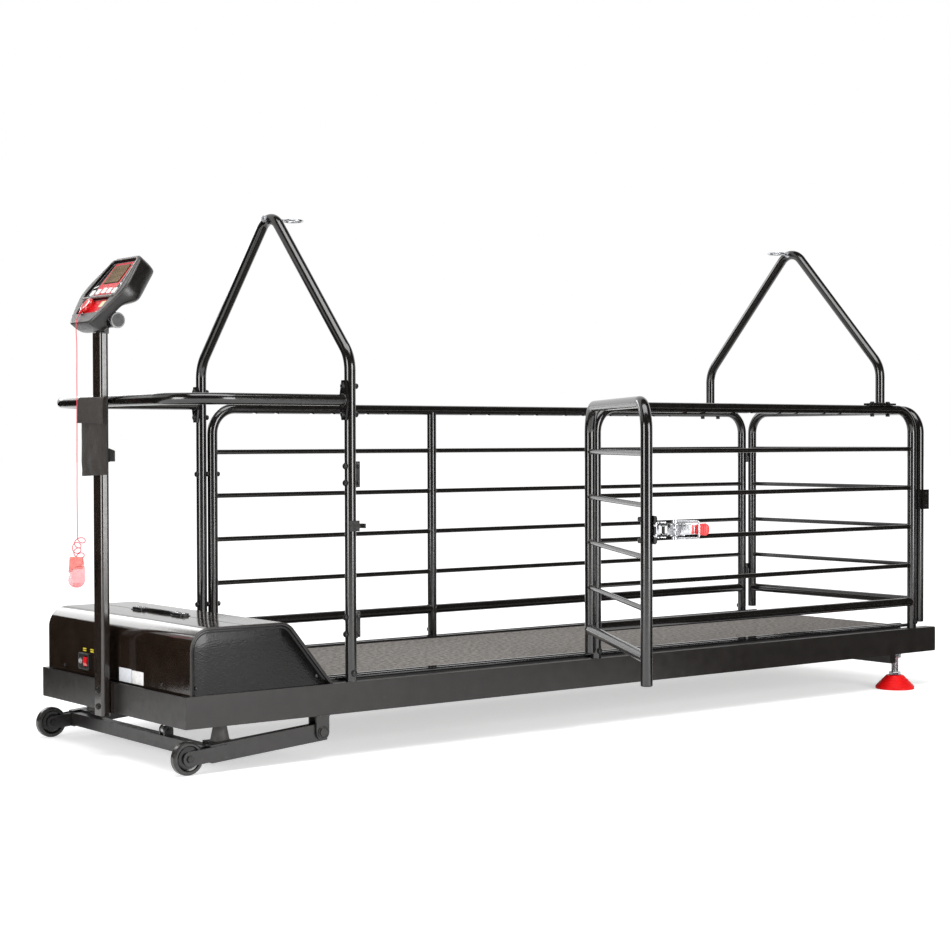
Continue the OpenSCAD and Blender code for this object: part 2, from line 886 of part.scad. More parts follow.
module lift_frame() {
    color(black) difference() {
        union() {
            for (side = [-1, 1]) {
                in_arm() block([-arm_l + arm_front, side < 0 ? -arm_y1 : arm_y0, -arm_h / 2],
                               [arm_back, side < 0 ? -arm_y0 : arm_y1, arm_h / 2]);
                for (y = [arm_y1, arm_y0 - fork_t]) in_arm() mirror([0, side < 0 ? 1 : 0, 0]) {
                    block([-arm_l, y, -fork_h / 2], [-arm_l + fork_l, y + fork_t, fork_h / 2]);
                    translate([-arm_l, y, 0]) to_y() cylinder(d = fork_h, h = fork_t);
                }
                mirror([0, side < 0 ? 1 : 0, 0])
                    block([gusset_x - gusset_l / 2, arm_y0 - gusset_w, gusset_z],
                          [gusset_x + gusset_l / 2, arm_y0, gusset_z + gusset_t]);
            }
            block([cross_x - cross_w / 2, -arm_y0, cross_z - cross_h / 2],
                  [cross_x + cross_w / 2, arm_y0, cross_z + cross_h / 2]);
            for (way = [-1, 1]) translate([cross_x, lug_y + way * (lug_gap + lug_t) / 2, 0]) {
                translate([0, 0, lug_z]) rotate([90, 0, 0]) cylinder(r = lug_r, h = lug_t, center = true);
                block([-lug_r, -lug_t / 2, cross_z], [lug_r, lug_t / 2, lug_z]);
            }
        }
        for (side = [-1, 1]) in_arm() mirror([0, side < 0 ? 1 : 0, 0]) block(
            [-arm_l + arm_front + arm_wall, arm_y0 + arm_wall, -arm_h / 2 + arm_wall],
            [-pivot_d - arm_wall, arm_y1 - arm_wall, arm_h / 2 - arm_wall]);
        block([cross_x - cross_w / 2 + arm_wall, -arm_y0 + arm_wall, cross_z - cross_h / 2 + arm_wall],
              [cross_x + cross_w / 2 - arm_wall, arm_y0 - arm_wall, cross_z + cross_h / 2 - arm_wall]);
        translate([pivot_x, 0, pivot_z]) rotate([90, 0, 0])
            cylinder(d = pivot_d + 2 * running, h = base_w, center = true);
        translate([axle_x, 0, axle_z]) rotate([90, 0, 0])
            cylinder(d = wheel_bolt_d + 2 * seat, h = base_w, center = true);
        translate([cross_x, lug_y, lug_z]) rotate([90, 0, 0])
            cylinder(d = lug_pin_d + 2 * seat, h = lug_gap + 4 * lug_t, center = true);
    }
}

module lift_bumpers() {
    z0 = gusset_z + gusset_t;
    color([0.28, 0.28, 0.29]) for (side = [-1, 1]) translate([gusset_x, side * bumper_y, z0])
        cylinder(d1 = bumper_base_d, d2 = bumper_top_d, h = ride_h - z0 - apart);
}

module lift_pins() {
    head = bolt_head_h;
    fork_half = arm_w / 2 + fork_t;
    arm_mid = (arm_y0 + arm_y1) / 2;
    color([0.16, 0.16, 0.17]) {
        for (side = [-1, 1]) mirror([0, side < 0 ? 1 : 0, 0]) {
            translate([axle_x, arm_mid, axle_z]) rotate([90, 0, 0]) {
                cylinder(d = wheel_bolt_d, h = 2 * fork_half, center = true);
                for (way = [-1, 1]) translate([0, 0, way * (fork_half + head / 2)])
                    cylinder(d = 2 * wheel_bolt_d - head, h = head, center = true, $fn = 6);
            }
        }
        translate([cross_x, lug_y, lug_z]) rotate([90, 0, 0])
            cylinder(d = lug_pin_d, h = lug_gap + 2 * lug_t + head, center = true);
    }
}

// Wheel with a rounded tread and a hollowed face on both sides
module wheel(side) {
    r = wheel_d / 2;
    hub_r = r * 0.36;
    edge = wheel_w * 0.22;
    dish = wheel_w * 0.14;
    bore = wheel_bolt_d / 2 + running;
    profile = [
        [bore, wheel_w / 2], [hub_r, wheel_w / 2], [hub_r + dish, wheel_w / 2 - dish],
        [r * 0.72, wheel_w / 2 - dish], [r * 0.78, wheel_w / 2], [r - edge, wheel_w / 2],
        [r - edge * 0.3, wheel_w / 2 - edge * 0.3], [r, wheel_w / 2 - edge], [r, 0]
    ];
    other = [for (i = [len(profile) - 2:-1:0]) [profile[i].x, -profile[i].y]];
    translate([axle_x, side * (arm_y0 + arm_y1) / 2, axle_z]) rotate([90, 0, 0])
        rotate_extrude() polygon(concat(profile, other));
}

module wheel_near() { color([0.1, 0.1, 0.1]) wheel(-1); }
module wheel_far() { color([0.1, 0.1, 0.1]) wheel(1); }

module actuator_body() {
    z0 = actuator_z - actuator_l;
    eye_t = upright_gap - 2 * apart;
    color([0.32, 0.33, 0.35]) translate([cross_x, lug_y, 0]) difference() {
        union() {
            translate([0, 0, z0]) cylinder(d = actuator_d, h = actuator_l - upright_w / 2);
            translate([0, 0, actuator_z]) rotate([90, 0, 0]) cylinder(r = lug_r, h = eye_t, center = true);
            translate([0, 0, actuator_z - upright_w / 4])
                cube([2 * lug_r, actuator_d / 2, upright_w / 2], center = true);
        }
        translate([0, 0, actuator_z]) rotate([90, 0, 0])
            cylinder(d = lug_pin_d + 2 * running, h = 2 * eye_t, center = true);
        translate([0, 0, z0 - overrun]) cylinder(d = rod_d + 2 * running, h = rod_inside + 2 * overrun);
    }
}

module actuator_rod() {
    z0 = actuator_z - actuator_l;
    color(steel) translate([cross_x, lug_y, 0]) difference() {
        union() {
            translate([0, 0, lug_z]) cylinder(d = rod_d, h = z0 + rod_inside - overrun - lug_z);
            translate([0, 0, lug_z]) rotate([90, 0, 0]) cylinder(r = lug_r, h = rod_eye_t, center = true);
        }
        translate([0, 0, lug_z]) rotate([90, 0, 0])
            cylinder(d = lug_pin_d + 2 * rod_eye_clear, h = 2 * rod_d, center = true);
    }
}

// Levelling feet
module foot(side) {
    r = foot_d / 2;
    translate([foot_x, side * foot_y, 0]) difference() {
        rotate_extrude() polygon([
            [0, 0], [r, 0], [r, foot_rim], [r - foot_rim / 2, foot_rim * 1.5],
            [foot_top_d / 2, foot_h - foot_rim / 2], [foot_top_d / 2 - foot_rim / 2, foot_h], [0, foot_h]
        ]);
        translate([0, 0, stud_floor]) cylinder(d = stud_d + 2 * running, h = foot_h);
    }
}

module foot_near() { color(red) foot(-1); }
module foot_far() { color(red) foot(1); }

module foot_studs() {
    inside = nut_h + rail_wall + 2 * overrun;
    color(steel) for (side = [-1, 1]) translate([foot_x, side * foot_y, 0]) {
        translate([0, 0, stud_floor + apart])
            cylinder(d = stud_d, h = ride_h + inside - stud_floor - apart);
        translate([0, 0, ride_h - nut_h]) cylinder(d = nut_d, h = nut_h, $fn = 6);
        translate([0, 0, ride_h + rail_wall])
            cylinder(d = rail_w - 2 * rail_wall - 4 * overrun, h = nut_h, $fn = 6);
    }
}

// Hood
function slope_x(z, inset) = hood_x1 - (z - rail_top) * hood_slope
    - inset * sqrt(1 + hood_slope * hood_slope);
function hood_outline(inset, z0) = rounded([
    [hood_x0 + inset, z0], [hood_x0 + inset, hood_z1 - inset],
    [slope_x(hood_z1 - inset, inset), hood_z1 - inset], [slope_x(z0, inset), z0]
], [0, hood_front_r - inset, hood_rear_r - inset, 0], 8);

module hood_sheet(t, half0, half1) {
    translate([0, half1, 0]) rotate([90, 0, 0]) linear_extrude(half1 - half0) difference() {
        polygon(hood_outline(0, rail_top));
        polygon(hood_outline(t, rail_top - overrun));
    }
}

module motor_hood() {
    color(black) difference() {
        union() {
            hood_sheet(hood_t, -hood_half, hood_half);
            hood_sheet(hood_bead, -hood_half, -hood_half + hood_rim_w);
            hood_sheet(hood_bead, hood_half - hood_rim_w, hood_half);
        }
        block([hood_xc, -inner_half, rail_top - overrun],
              [hood_x1 + overrun, inner_half, rail_top + hood_foot_gap]);
        block([from_front(seam_in), -hood_half - overrun, hood_z1 - hood_t / 4],
              [from_front(seam_in) + seam_w, hood_half + overrun, hood_z1 + overrun]);
    }
}

module hood_side_plates() {
    color([0.1, 0.1, 0.1]) for (side = [-1, 1]) difference() {
        y = side * (hood_half - hood_plate_in - hood_plate_t / 2);
        translate([0, y + hood_plate_t / 2, 0]) rotate([90, 0, 0])
            linear_extrude(hood_plate_t) polygon(hood_outline(hood_bead + seat, rail_top));
        if (side > 0) translate([inlet_x, y, inlet_z]) rotate([90, 0, 0])
            cylinder(d = inlet_d / 2 + 2 * seat, h = 4 * hood_plate_t, center = true);
    }
}

// Strap across the seam on the hood top: two screwed feet and a thin link
module hood_strap() {
    foot = strap_foot;
    x = from_front(seam_in);
    color(black) {
        for (y = strap_feet_y) translate([x, y, hood_z1]) linear_extrude(foot.z)
            polygon(rounded([[-foot.x / 2, -foot.y / 2], [foot.x / 2, -foot.y / 2],
                             [foot.x / 2, foot.y / 2], [-foot.x / 2, foot.y / 2]],
                            [for (i = [0:3]) foot.x / 3]));
        block([x - strap_link_w / 2, strap_feet_y[0] + foot.y / 2, hood_z1],
              [x + strap_link_w / 2, strap_feet_y[1] - foot.y / 2, hood_z1 + strap_link_h]);
    }
}

module switch_bezel() {
    x0 = hood_x0 - bezel_t;
    gap = rocker_gap;
    color(black) {
        difference() {
            block([x0, switch_y - bezel_w / 2, switch_z - bezel_h / 2],
                  [hood_x0, switch_y + bezel_w / 2, switch_z + bezel_h / 2]);
            block([x0 - overrun, rocker_y - rocker_w / 2 - gap, switch_z - rocker_h / 2 - gap],
                  [hood_x0 + overrun, rocker_y + rocker_w / 2 + gap, switch_z + rocker_h / 2 + gap]);
            translate([x0 - overrun, reset_y, switch_z]) to_x()
                cylinder(d = reset_d + 2 * running, h = bezel_t);
        }
        for (side = [-1, 1])
            translate([hood_x0 - bezel_t / 2, rocker_y + side * (rocker_w / 2 + gap), switch_z])
                to_y(-side) cylinder(d = bezel_t / 3, h = bezel_t / 2);
        translate([inlet_x, hood_half - hood_plate_in, inlet_z]) to_y()
            cylinder(d = inlet_d, h = inlet_d / 4);
        translate([inlet_x, hood_half - hood_plate_in - inlet_d, inlet_z]) to_y()
            cylinder(d = inlet_d / 2, h = inlet_d);
    }
}

// Rocker: a slice of a round bar that turns on two stub pins
module power_switch() {
    x = hood_x0 - bezel_t / 2;
    color(red) difference() {
        intersection() {
            translate([x + rocker_r - bezel_t, rocker_y, switch_z]) rotate([90, 0, 0])
                cylinder(r = rocker_r, h = rocker_w, center = true);
            block([x - bezel_t, rocker_y - rocker_w / 2, switch_z - rocker_h * 0.4],
                  [x + bezel_t / 5, rocker_y + rocker_w / 2, switch_z + rocker_h * 0.4]);
        }
        translate([x, rocker_y, switch_z]) rotate([90, 0, 0])
            cylinder(d = bezel_t / 3 + 2 * running, h = 2 * rocker_w, center = true);
    }
}

module reset_button() {
    x0 = hood_x0 - bezel_t;
    color([0.4, 0.4, 0.42]) translate([x0 - reset_out, reset_y, switch_z]) to_x()
        cylinder(d = reset_d, h = reset_out + bezel_t / 4);
}

// Console post and yoke
module post_outline(inset) {
    a = post_t / 2 - inset;
    b = post_w / 2 - inset;
    polygon(rounded([[-a, -b], [a, -b], [a, b], [-a, b]], [for (i = [0:3]) post_r - inset / 2]));
}

module console_post() {
    mid = (post_x0 + post_x1) / 2;
    color(black) difference() {
        union() {
            difference() {
                translate([mid, 0, post_foot]) linear_extrude(post_top - post_foot) post_outline(0);
                translate([mid, 0, post_foot + post_wall]) linear_extrude(post_top) post_outline(post_wall);
            }
            block([post_x1, -post_w / 2, ride_h], [from_front(0), post_w / 2, rail_top]);
        }
        apron_bolts() bolt_hole(post_grip);
        bar_bolt() bolt_hole(bar_bolt_grip);
    }
}

module console_yoke() {
    mid = (post_x0 + post_x1) / 2;
    color(black) {
        translate([mid, 0, post_top - yoke_plug_h])
            linear_extrude(yoke_plug_h) post_outline(post_wall + seat);
        translate([mid, 0, post_top]) linear_extrude(yoke_lid) post_outline(0);
        block([hinge_x - yoke_neck, -post_w / 2, post_top], [post_x1, post_w / 2, console_z]);
        translate([hinge_x, 0, console_z]) rotate([90, 0, 0]) {
            cylinder(r = yoke_r, h = 2 * yoke_half, center = true);
            cylinder(d = tilt_pin_d, h = 2 * cap_half, center = true);
            for (way = [-1, 1]) translate([0, 0, way * (lug_half + cap_half + 2 * apart) / 2])
                cylinder(d = cap_d, h = cap_half - lug_half, center = true);
        }
    }
}

// Console head, in its own frame: x up the face, y across, z out of the face
function console_point(p) = [
    hinge_x + p.x * cos(console_tilt) - p.z * sin(console_tilt), p.y,
    console_z + p.x * sin(console_tilt) + p.z * cos(console_tilt)
];

module on_console() {
    translate([hinge_x, 0, console_z]) rotate([0, -console_tilt, 0]) children();
}

function face_outline(inset) = rounded([
    [face_x0 + inset, -face_half_low + inset], [face_x0 + inset, face_half_low - inset],
    [face_low_x, face_half_chin - inset], [face_mid_x, face_half_mid - inset],
    [face_x1 - inset, face_half_top - inset], [face_x1 - inset, -face_half_top + inset],
    [face_mid_x, -face_half_mid + inset], [face_low_x, -face_half_chin + inset]
], [face_low_r, face_low_r, face_chin_r, face_mid_r,
    face_top_r, face_top_r, face_mid_r, face_chin_r]);

module window(xs, half0, half1, r) {
    polygon(rounded([[xs[0], -half0], [xs[0], half0], [xs[1], half1], [xs[1], -half1]], [r, r, r, r]));
}

module key_places() {
    for (i = [-2:2]) translate([key_x - abs(i) * key_fan, i * key_pitch, 0]) children();
}

module console_shell() {
    lug_w = lug_half - yoke_half - 2 * apart;
    color([0.2, 0.2, 0.2]) on_console() difference() {
        union() {
            translate([0, 0, shell_back]) linear_extrude(face_h - bezel_deep - shell_back)
                polygon(face_outline(0));
            translate([0, 0, shell_back - bulge_t]) linear_extrude(bulge_t)
                window([bulge_x0, face_x1 - bulge_t / 2], face_half_mid * 0.8, face_half_top * 0.9, bulge_t);
            for (way = [-1, 1]) translate([0, way * (yoke_half + apart + lug_w / 2), 0]) {
                rotate([90, 0, 0]) cylinder(r = yoke_r, h = lug_w, center = true);
                translate([0, 0, shell_back / 2]) cube([2 * yoke_r, lug_w, shell_back], center = true);
            }
        }
        rotate([90, 0, 0]) cylinder(d = tilt_pin_d + 2 * running, h = 2 * cap_half, center = true);
        rotate([90, 0, 0]) cylinder(r = yoke_r + overrun, h = 2 * (yoke_half + apart), center = true);
        for (way = [-1, 1])
            translate([0, way * (lug_half + cap_half) / 2 + way * overrun, 0]) rotate([90, 0, 0])
                cylinder(d = cap_d + 2 * overrun, h = cap_half - lug_half + 2 * overrun, center = true);
        key_places() translate([0, 0, face_h - bezel_deep - key_sink])
            linear_extrude(face_h) square([key_l + 2 * apart, key_w + 2 * apart], center = true);
    }
}

module console_bezel() {
    color([0.45, 0.45, 0.46]) on_console() translate([0, 0, face_h - bezel_deep])
        linear_extrude(bezel_deep) difference() {
            polygon(face_outline(bezel_in));
            window(window_x, face_half_mid * 0.75, face_half_top * 0.86, window_r);
            window(lower_window_x, face_half_chin * 0.75, face_half_chin * 0.92, lower_window_r);
        }
}

module display_lens() {
    color([0.35, 0.33, 0.2]) on_console() translate([0, 0, face_h - bezel_deep])
        linear_extrude(lens_t) window(lens_x, lens_half, lens_half, lens_r);
}

module console_key(i) {
    color([0.92, 0.92, 0.92]) on_console()
        translate([key_x - abs(i) * key_fan, i * key_pitch,
                   face_h - bezel_deep - key_sink + key_travel + apart])
            linear_extrude(key_h - key_travel) polygon(rounded(
                [[-key_l / 2, -key_w / 2], [key_l / 2, -key_w / 2],
                 [key_l / 2, key_w / 2], [-key_l / 2, key_w / 2]],
                [for (k = [0:3]) key_w / 8]));
}

module console_key_1() { console_key(-2); }
module console_key_2() { console_key(-1); }
module console_key_3() { console_key(0); }
module console_key_4() { console_key(1); }
module console_key_5() { console_key(2); }

module safety_key() {
    color(red) on_console() translate([safety_x, safety_y, face_h - bezel_deep + apart]) {
        cylinder(d = safety_d, h = safety_h);
        difference() {
            block([-safety_d / 2 - safety_lug_w, -safety_lug_w / 2, safety_h / 2],
                  [-safety_d / 2 + safety_lug_w / 2, safety_lug_w / 2, safety_h]);
            translate([-safety_d / 2 - safety_lug_w - overrun, 0, safety_h * 3 / 4]) to_x()
                cylinder(d = cord_d + 2 * seat, h = safety_lug_w);
        }
    }
}

// Cord: one tube swept along the route, the loops and the end
lug_mid_z = face_h - bezel_deep + apart + safety_h * 3 / 4;
lug_end_x = safety_x - safety_d / 2 - safety_lug_w;
cord_in = console_point([lug_end_x + safety_lug_w / 2, safety_y, lug_mid_z]);
cord_out = console_point([lug_end_x - overrun, safety_y, lug_mid_z]);
cord_start = concat([cord_in, cord_out], [for (p = cord_drop) cord_out + p]);
loop_x = cord_start[len(cord_start) - 1].x;
loop_y = cord_start[len(cord_start) - 1].y - loop_w / 2;
loop_z = cord_start[len(cord_start) - 1].z - loop_lead;
cord_end_z = loop_z - cord_tail;
clip_top = cord_end_z + clip_over;
loop_points = [for (i = [0:loop_count * loop_steps]) let (a = 360 * i / loop_steps)
    [loop_x + loop_pitch * a / 360, loop_y + loop_w / 2 * cos(a), loop_z - loop_h / 2 * sin(a)]];
loop_last = loop_points[len(loop_points) - 1];
cord_points = concat(cord_start, loop_points, [
    [loop_last.x, loop_last.y, (loop_z + cord_end_z) / 2], [loop_last.x, loop_last.y, cord_end_z]
]);
cord_gap = min([for (i = [0:len(cord_points) - 1], j = [i + loop_steps / 4:1:len(cord_points) - 1])
    norm(cord_points[i] - cord_points[j])]) - cord_d;
echo(least_gap_of_the_cord_to_itself = cord_gap);

function ring_dir(p, i) = let (n = len(p) - 1)
    unit(i == 0 ? p[1] - p[0] : i == n ? p[n] - p[n - 1] : unit(p[i + 1] - p[i]) + unit(p[i] - p[i - 1]));

module swept(points, d, sides) {
    n = len(points);
    ring = [for (i = [0:n - 1])
        let (t = ring_dir(points, i), e = unit(cross(t, [1, 0.02, 0.05])), f = cross(t, e))
        for (k = [0:sides - 1]) points[i] + d / 2 * (e * cos(360 * k / sides) + f * sin(360 * k / sides))];
    walls = [for (i = [0:n - 2], k = [0:sides - 1]) let (m = (k + 1) % sides)
        each [[i * sides + k, (i + 1) * sides + m, i * sides + m],
              [i * sides + k, (i + 1) * sides + k, (i + 1) * sides + m]]];
    ends = [for (k = [1:sides - 2]) each [[0, k, k + 1],
        [(n - 1) * sides, (n - 1) * sides + k + 1, (n - 1) * sides + k]]];
    polyhedron(concat(ring), concat(walls, ends));
}

module safety_cord() { color(red) swept(cord_points, cord_d, cord_sides); }

module cord_clip() {
    x = loop_last.x;
    y = loop_last.y;
    color([1, 0.6, 0.62]) difference() {
        translate([x - clip_t / 2, y, clip_top]) rotate([0, 90, 0]) linear_extrude(clip_t)
            polygon(rounded([[0, -clip_top_w / 2], [0, clip_top_w / 2],
                             [clip_h, clip_w / 2], [clip_h, -clip_w / 2]],
                            [clip_top_r, clip_top_r, clip_r, clip_r]));
        translate([x, y, cord_end_z - apart]) cylinder(d = cord_d + 2 * apart, h = clip_h);
    }
}

// Pouch: a plain body with a flap on its front and a strap round the post
module remote_pouch() {
    x1 = post_x0 - strap_t - apart;
    color([0.22, 0.22, 0.22]) {
        translate([x1, 0, pouch_z]) rotate([0, -90, 0]) linear_extrude(pouch_t)
            polygon(rounded([[0, -pouch_w / 2], [pouch_h, -pouch_w / 2],
                             [pouch_h, pouch_w / 2], [0, pouch_w / 2]],
                            [pouch_r, pouch_r, pouch_r, pouch_r]));
        translate([x1 - pouch_t, 0, pouch_z + pouch_h - flap_h]) rotate([0, -90, 0]) linear_extrude(flap_t)
            polygon(rounded([[0, -pouch_w / 2 - flap_over], [flap_h, -pouch_w / 2 - flap_over],
                             [flap_h, pouch_w / 2 + flap_over], [0, pouch_w / 2 + flap_over]],
                            [pouch_r / 2, pouch_r, pouch_r, pouch_r / 2]));
        translate([(post_x0 + post_x1) / 2, 0, strap_z]) linear_extrude(strap_h) difference() {
            post_outline(-strap_t - apart);
            post_outline(-apart);
        }
    }
}

// Handlebar
module handlebar() {
    ends_x = flange_x - flange_t;
    pts = [[ends_x, -post_y, handle_z], [handle_x, -post_y, handle_z],
           [handle_x, post_y, handle_z], [ends_x, post_y, handle_z]];
    a = flange_w / 2;
    b = flange_tip_w / 2;
    h = flange_h / 2;
    color(black) difference() {
        union() {
            bent_tube(pts, [0, handle_r, handle_r, 0]);
            for (side = [-1, 1]) translate([ends_x, side * post_y, handle_z]) rotate([90, 0, 90])
                linear_extrude(flange_t)
                    polygon([[-a, -tube_r], [-b, -h], [b, -h], [a, -tube_r],
                             [a, tube_r], [b, h], [-b, h], [-a, tube_r]]);
        }
        handle_bolts() bolt_hole(handle_bolt_grip);
        bar_bolt() bolt_hole(bar_bolt_grip);
    }
}

// Arches
function arch_points(x, z0, bend_z) = [
    [x, -post_y, z0], [x, -post_y, bend_z], [x, 0, bend_z + arch_rise], [x, post_y, bend_z], [x, post_y, z0]
];
arch_radii = [0, arch_post_r, arch_top_r, arch_post_r, 0];
arch_collar = 0.2;
front_bend_z = rail_top + arch_bend_h;
rear_bend_z = top_z + rear_bend_h;
// Axis height of the rounded top below the crossing point of the legs
function apex_z(bend_z) = let (half_turn = 90 - atan2(post_y, arch_rise))
    bend_z + arch_rise - arch_top_r * (1 / cos(half_turn) - 1);

module eye_hole(x, bend_z, way) {
    translate([x, 0, apex_z(bend_z)]) rotate([0, way * 90, 0])
        cylinder(d = ring_wire + 2 * seat, h = 2 * tube_d, center = true);
}

module front_arch() {
    color(black) difference() {
        bent_tube(arch_points(arch_x, rail_top, front_bend_z), arch_radii, arch_collar);
        handle_bolts() bolt_hole(handle_bolt_grip);
        spacer_bolts() bolt_hole(spacer_grip);
        stop_bolts() bolt_hole(tube_d);
        arch_foot_bolts() bolt_hole(tube_d);
        eye_hole(arch_x, front_bend_z, 1);
    }
}

module rear_arch() {
    z0 = rear_flange_z + rear_flange_t;
    color(black) difference() {
        union() {
            bent_tube(arch_points(rear_arch_x, z0, rear_bend_z), arch_radii, arch_collar);
            for (side = [-1, 1]) translate([rear_arch_x, side * post_y, rear_flange_z])
                block([-rear_flange_l / 2, -rear_flange_w / 2, 0],
                      [rear_flange_l / 2, rear_flange_w / 2, rear_flange_t]);
        }
        rear_flange_bolts() bolt_hole(rear_flange_t);
        eye_hole(rear_arch_x, rear_bend_z, -1);
    }
}

module tether_eye(x, bend_z, way) {
    ring_at = tube_r + eye_reach - ring_d / 2 - ring_wire / 2;
    translate([x, 0, apex_z(bend_z)]) rotate([0, 0, way > 0 ? 0 : 180]) {
        translate([ring_at, 0, 0]) rotate_extrude() translate([ring_d / 2, 0]) circle(d = ring_wire);
        translate([-tube_r - eye_nut_h - eye_thread, 0, 0]) to_x()
            cylinder(d = ring_wire, h = tube_r + eye_nut_h + eye_thread + ring_at - ring_d / 2);
        for (x0 = [-tube_r - eye_nut_h, tube_r]) translate([x0, 0, 0]) to_x()
            cylinder(d = eye_nut_d, h = eye_nut_h, $fn = 6);
    }
}

module tether_eyes() {
    color(steel) {
        tether_eye(arch_x, front_bend_z, 1);
        tether_eye(rear_arch_x, rear_bend_z, -1);
    }
}

// Panels: a bent tube frame, thin bars and a bottom tube; posts between if asked for.
// The inner tubes are a little slimmer, so that they end inside the walls they meet.
module panel_rods(x0, x1, y, z0, mids, d, thin) {
    bent_rod([[x0, y, z0], [x0, y, top_z], [x1, y, top_z], [x1, y, z0]], [0, corner_r, corner_r, 0], d);
    rod([x0, y, low_z], [x1, y, low_z], d - 2 * slim);
    for (x = mids) rod([x, y, z0], [x, y, top_z], d - slim);
    if (thin > 0) for (z = bar_zs) rod([x0, y, z], [x1, y, z], thin);
}

module panel(x0, x1, y, z0, mids = []) {
    difference() {
        panel_rods(x0, x1, y, z0, mids, tube_d, bar_d);
        panel_rods(x0, x1, y, z0 - overrun, mids, tube_d - 2 * tube_wall, 0);
    }
}

// Pairs of holes under the top tubes, where the rear arch can be moved to
shift_d = 20;
shift_pitch = 202;
far_shift_in = 715;
near_shift_in = 1734;
function shift_xs(first) = [
    for (x = [from_front(first):shift_pitch:rear_arch_x - shift_pitch])
        if (abs(x - far_mid_x) > 2 * rear_bolt) x
];

module shift_holes(first, y) {
    for (x = shift_xs(first), way = [-1, 1])
        translate([x + way * rear_bolt, y, top_z - tube_d]) cylinder(d = shift_d, h = tube_d);
}

module far_panel() {
    color(black) difference() {
        panel(far_front_x, rear_post_x, post_y, rail_top, [far_mid_x]);
        shift_holes(far_shift_in, post_y);
        spacer_bolts() bolt_hole(spacer_grip);
        foot_bolts(1, far_feet) bolt_hole(tube_d);
        rear_flange_bolts() bolt_hole(rear_flange_t + apart + tube_d);
    }
}

module near_panel() {
    color(black) difference() {
        panel(near_front_x, rear_post_x, -post_y, rail_top);
        shift_holes(near_shift_in, -post_y);
        foot_bolts(-1, near_feet) bolt_hole(tube_d);
        rear_flange_bolts() bolt_hole(rear_flange_t + apart + tube_d);
    }
}

module frame_bolts() {
    color([0.13, 0.13, 0.14]) {
        handle_bolts() bolt(handle_bolt_grip);
        spacer_bolts() {
            bolt(spacer_grip);
            translate([0, 0, tube_d]) difference() {
                cylinder(d = bolt_head_d, h = panel_gap);
                cylinder(d = bolt_d, h = panel_gap);
            }
        }
        rear_flange_bolts() bolt(rear_flange_t + apart + tube_d);
        apron_bolts() bolt(post_grip);
        bar_bolt() bolt(bar_bolt_grip, false);
        stop_bolts() bolt(tube_d + stop_t + apart);
        for (side = [-1, 1], x = concat([arch_x], side < 0 ? near_feet : far_feet)) {
            foot_bolts(side, [x]) bolt(tube_d, false);
            translate([x, side * post_y, rail_top]) cylinder(d = spigot_d, h = spigot_h);
        }
    }
}

// Lift-off hinge: a lower leaf with the pin on the fixed post, an upper leaf on the gate post
module leaf(reach, z0) {
    h = hinge_h / 2 - apart / 2;
    difference() {
        union() {
            translate([0, 0, z0]) cylinder(r = knuckle_r, h = h);
            block([0, -leaf_t / 2, z0], [reach, leaf_t / 2, z0 + h]);
        }
        translate([reach, 0, z0 - overrun]) cylinder(d = tube_d + 2 * running, h = hinge_h);
    }
}

module fixed_leaf(reach) {
    leaf(reach, -hinge_h / 2);
    translate([0, 0, -overrun]) cylinder(d = hinge_pin_d, h = hinge_h / 2);
}

module gate_leaf(reach) {
    difference() {
        mirror([1, 0, 0]) leaf(reach, apart / 2);
        cylinder(d = hinge_pin_d + 2 * running, h = hinge_h);
    }
}

module gate_hinges() {
    color(black) for (z = hinge_zs) {
        translate([gate_pin_x, -post_y, z]) fixed_leaf(gate_hinge_span / 2);
        translate([rear_pin_x, post_y, z]) mirror([1, 0, 0]) fixed_leaf(rear_hinge_span / 2);
    }
}

// Side gate, drawn closed along -X from its pin and then swung open
module on_gate() {
    translate([gate_pin_x, -post_y, 0]) rotate([0, 0, gate_open]) children();
}

module clamp_plate_holes() {
    for (way = [-1, 1])
        translate([-gate_free, -tube_r - clamp_plate_t, clamp_z + way * clamp_plate_h * 0.38])
            to_y() children();
}

module side_gate() {
    color(black) on_gate() {
        difference() {
            panel(-gate_free, -gate_hinge_span / 2, 0, gate_z0);
            clamp_plate_holes() bolt_hole(clamp_plate_t + tube_d);
        }
        for (z = hinge_zs) translate([0, 0, z]) gate_leaf(gate_hinge_span / 2);
    }
}

// Toggle clamp: plate and ears on the gate post
module clamp_frame() {
    translate([-gate_free, -tube_r - apart - clamp_plate_t, clamp_z]) children();
}

module toggle_clamp() {
    ear_half = clamp_ear_gap / 2;
    color([0.62, 0.63, 0.65]) on_gate() {
        clamp_frame() {
            difference() {
                block([-clamp_plate_w / 2, 0, -clamp_plate_h / 2],
                      [clamp_plate_w / 2, clamp_plate_t, clamp_plate_h / 2]);
                for (way = [-1, 1]) translate([0, -overrun, way * clamp_plate_h * 0.38]) to_y()
                    cylinder(d = bolt_d + 2 * seat, h = 2 * clamp_plate_t);
            }
            for (way = [-1, 1]) translate([0, 0, way * (ear_half + clamp_ear_t / 2)])
                block([-clamp_plate_w / 3, -clamp_ear_l, -clamp_ear_t / 2],
                      [clamp_plate_w / 3, 0, clamp_ear_t / 2]);
            translate([0, -clamp_pin_out, -ear_half - 2 * clamp_ear_t])
                cylinder(d = clamp_pin_d, h = clamp_ear_gap + 4 * clamp_ear_t);
            for (way = [-1, 1]) translate([0, -apart, way * clamp_plate_h * 0.38]) to_y()
                bolt(clamp_plate_t + 2 * apart + tube_d);
        }
    }
}

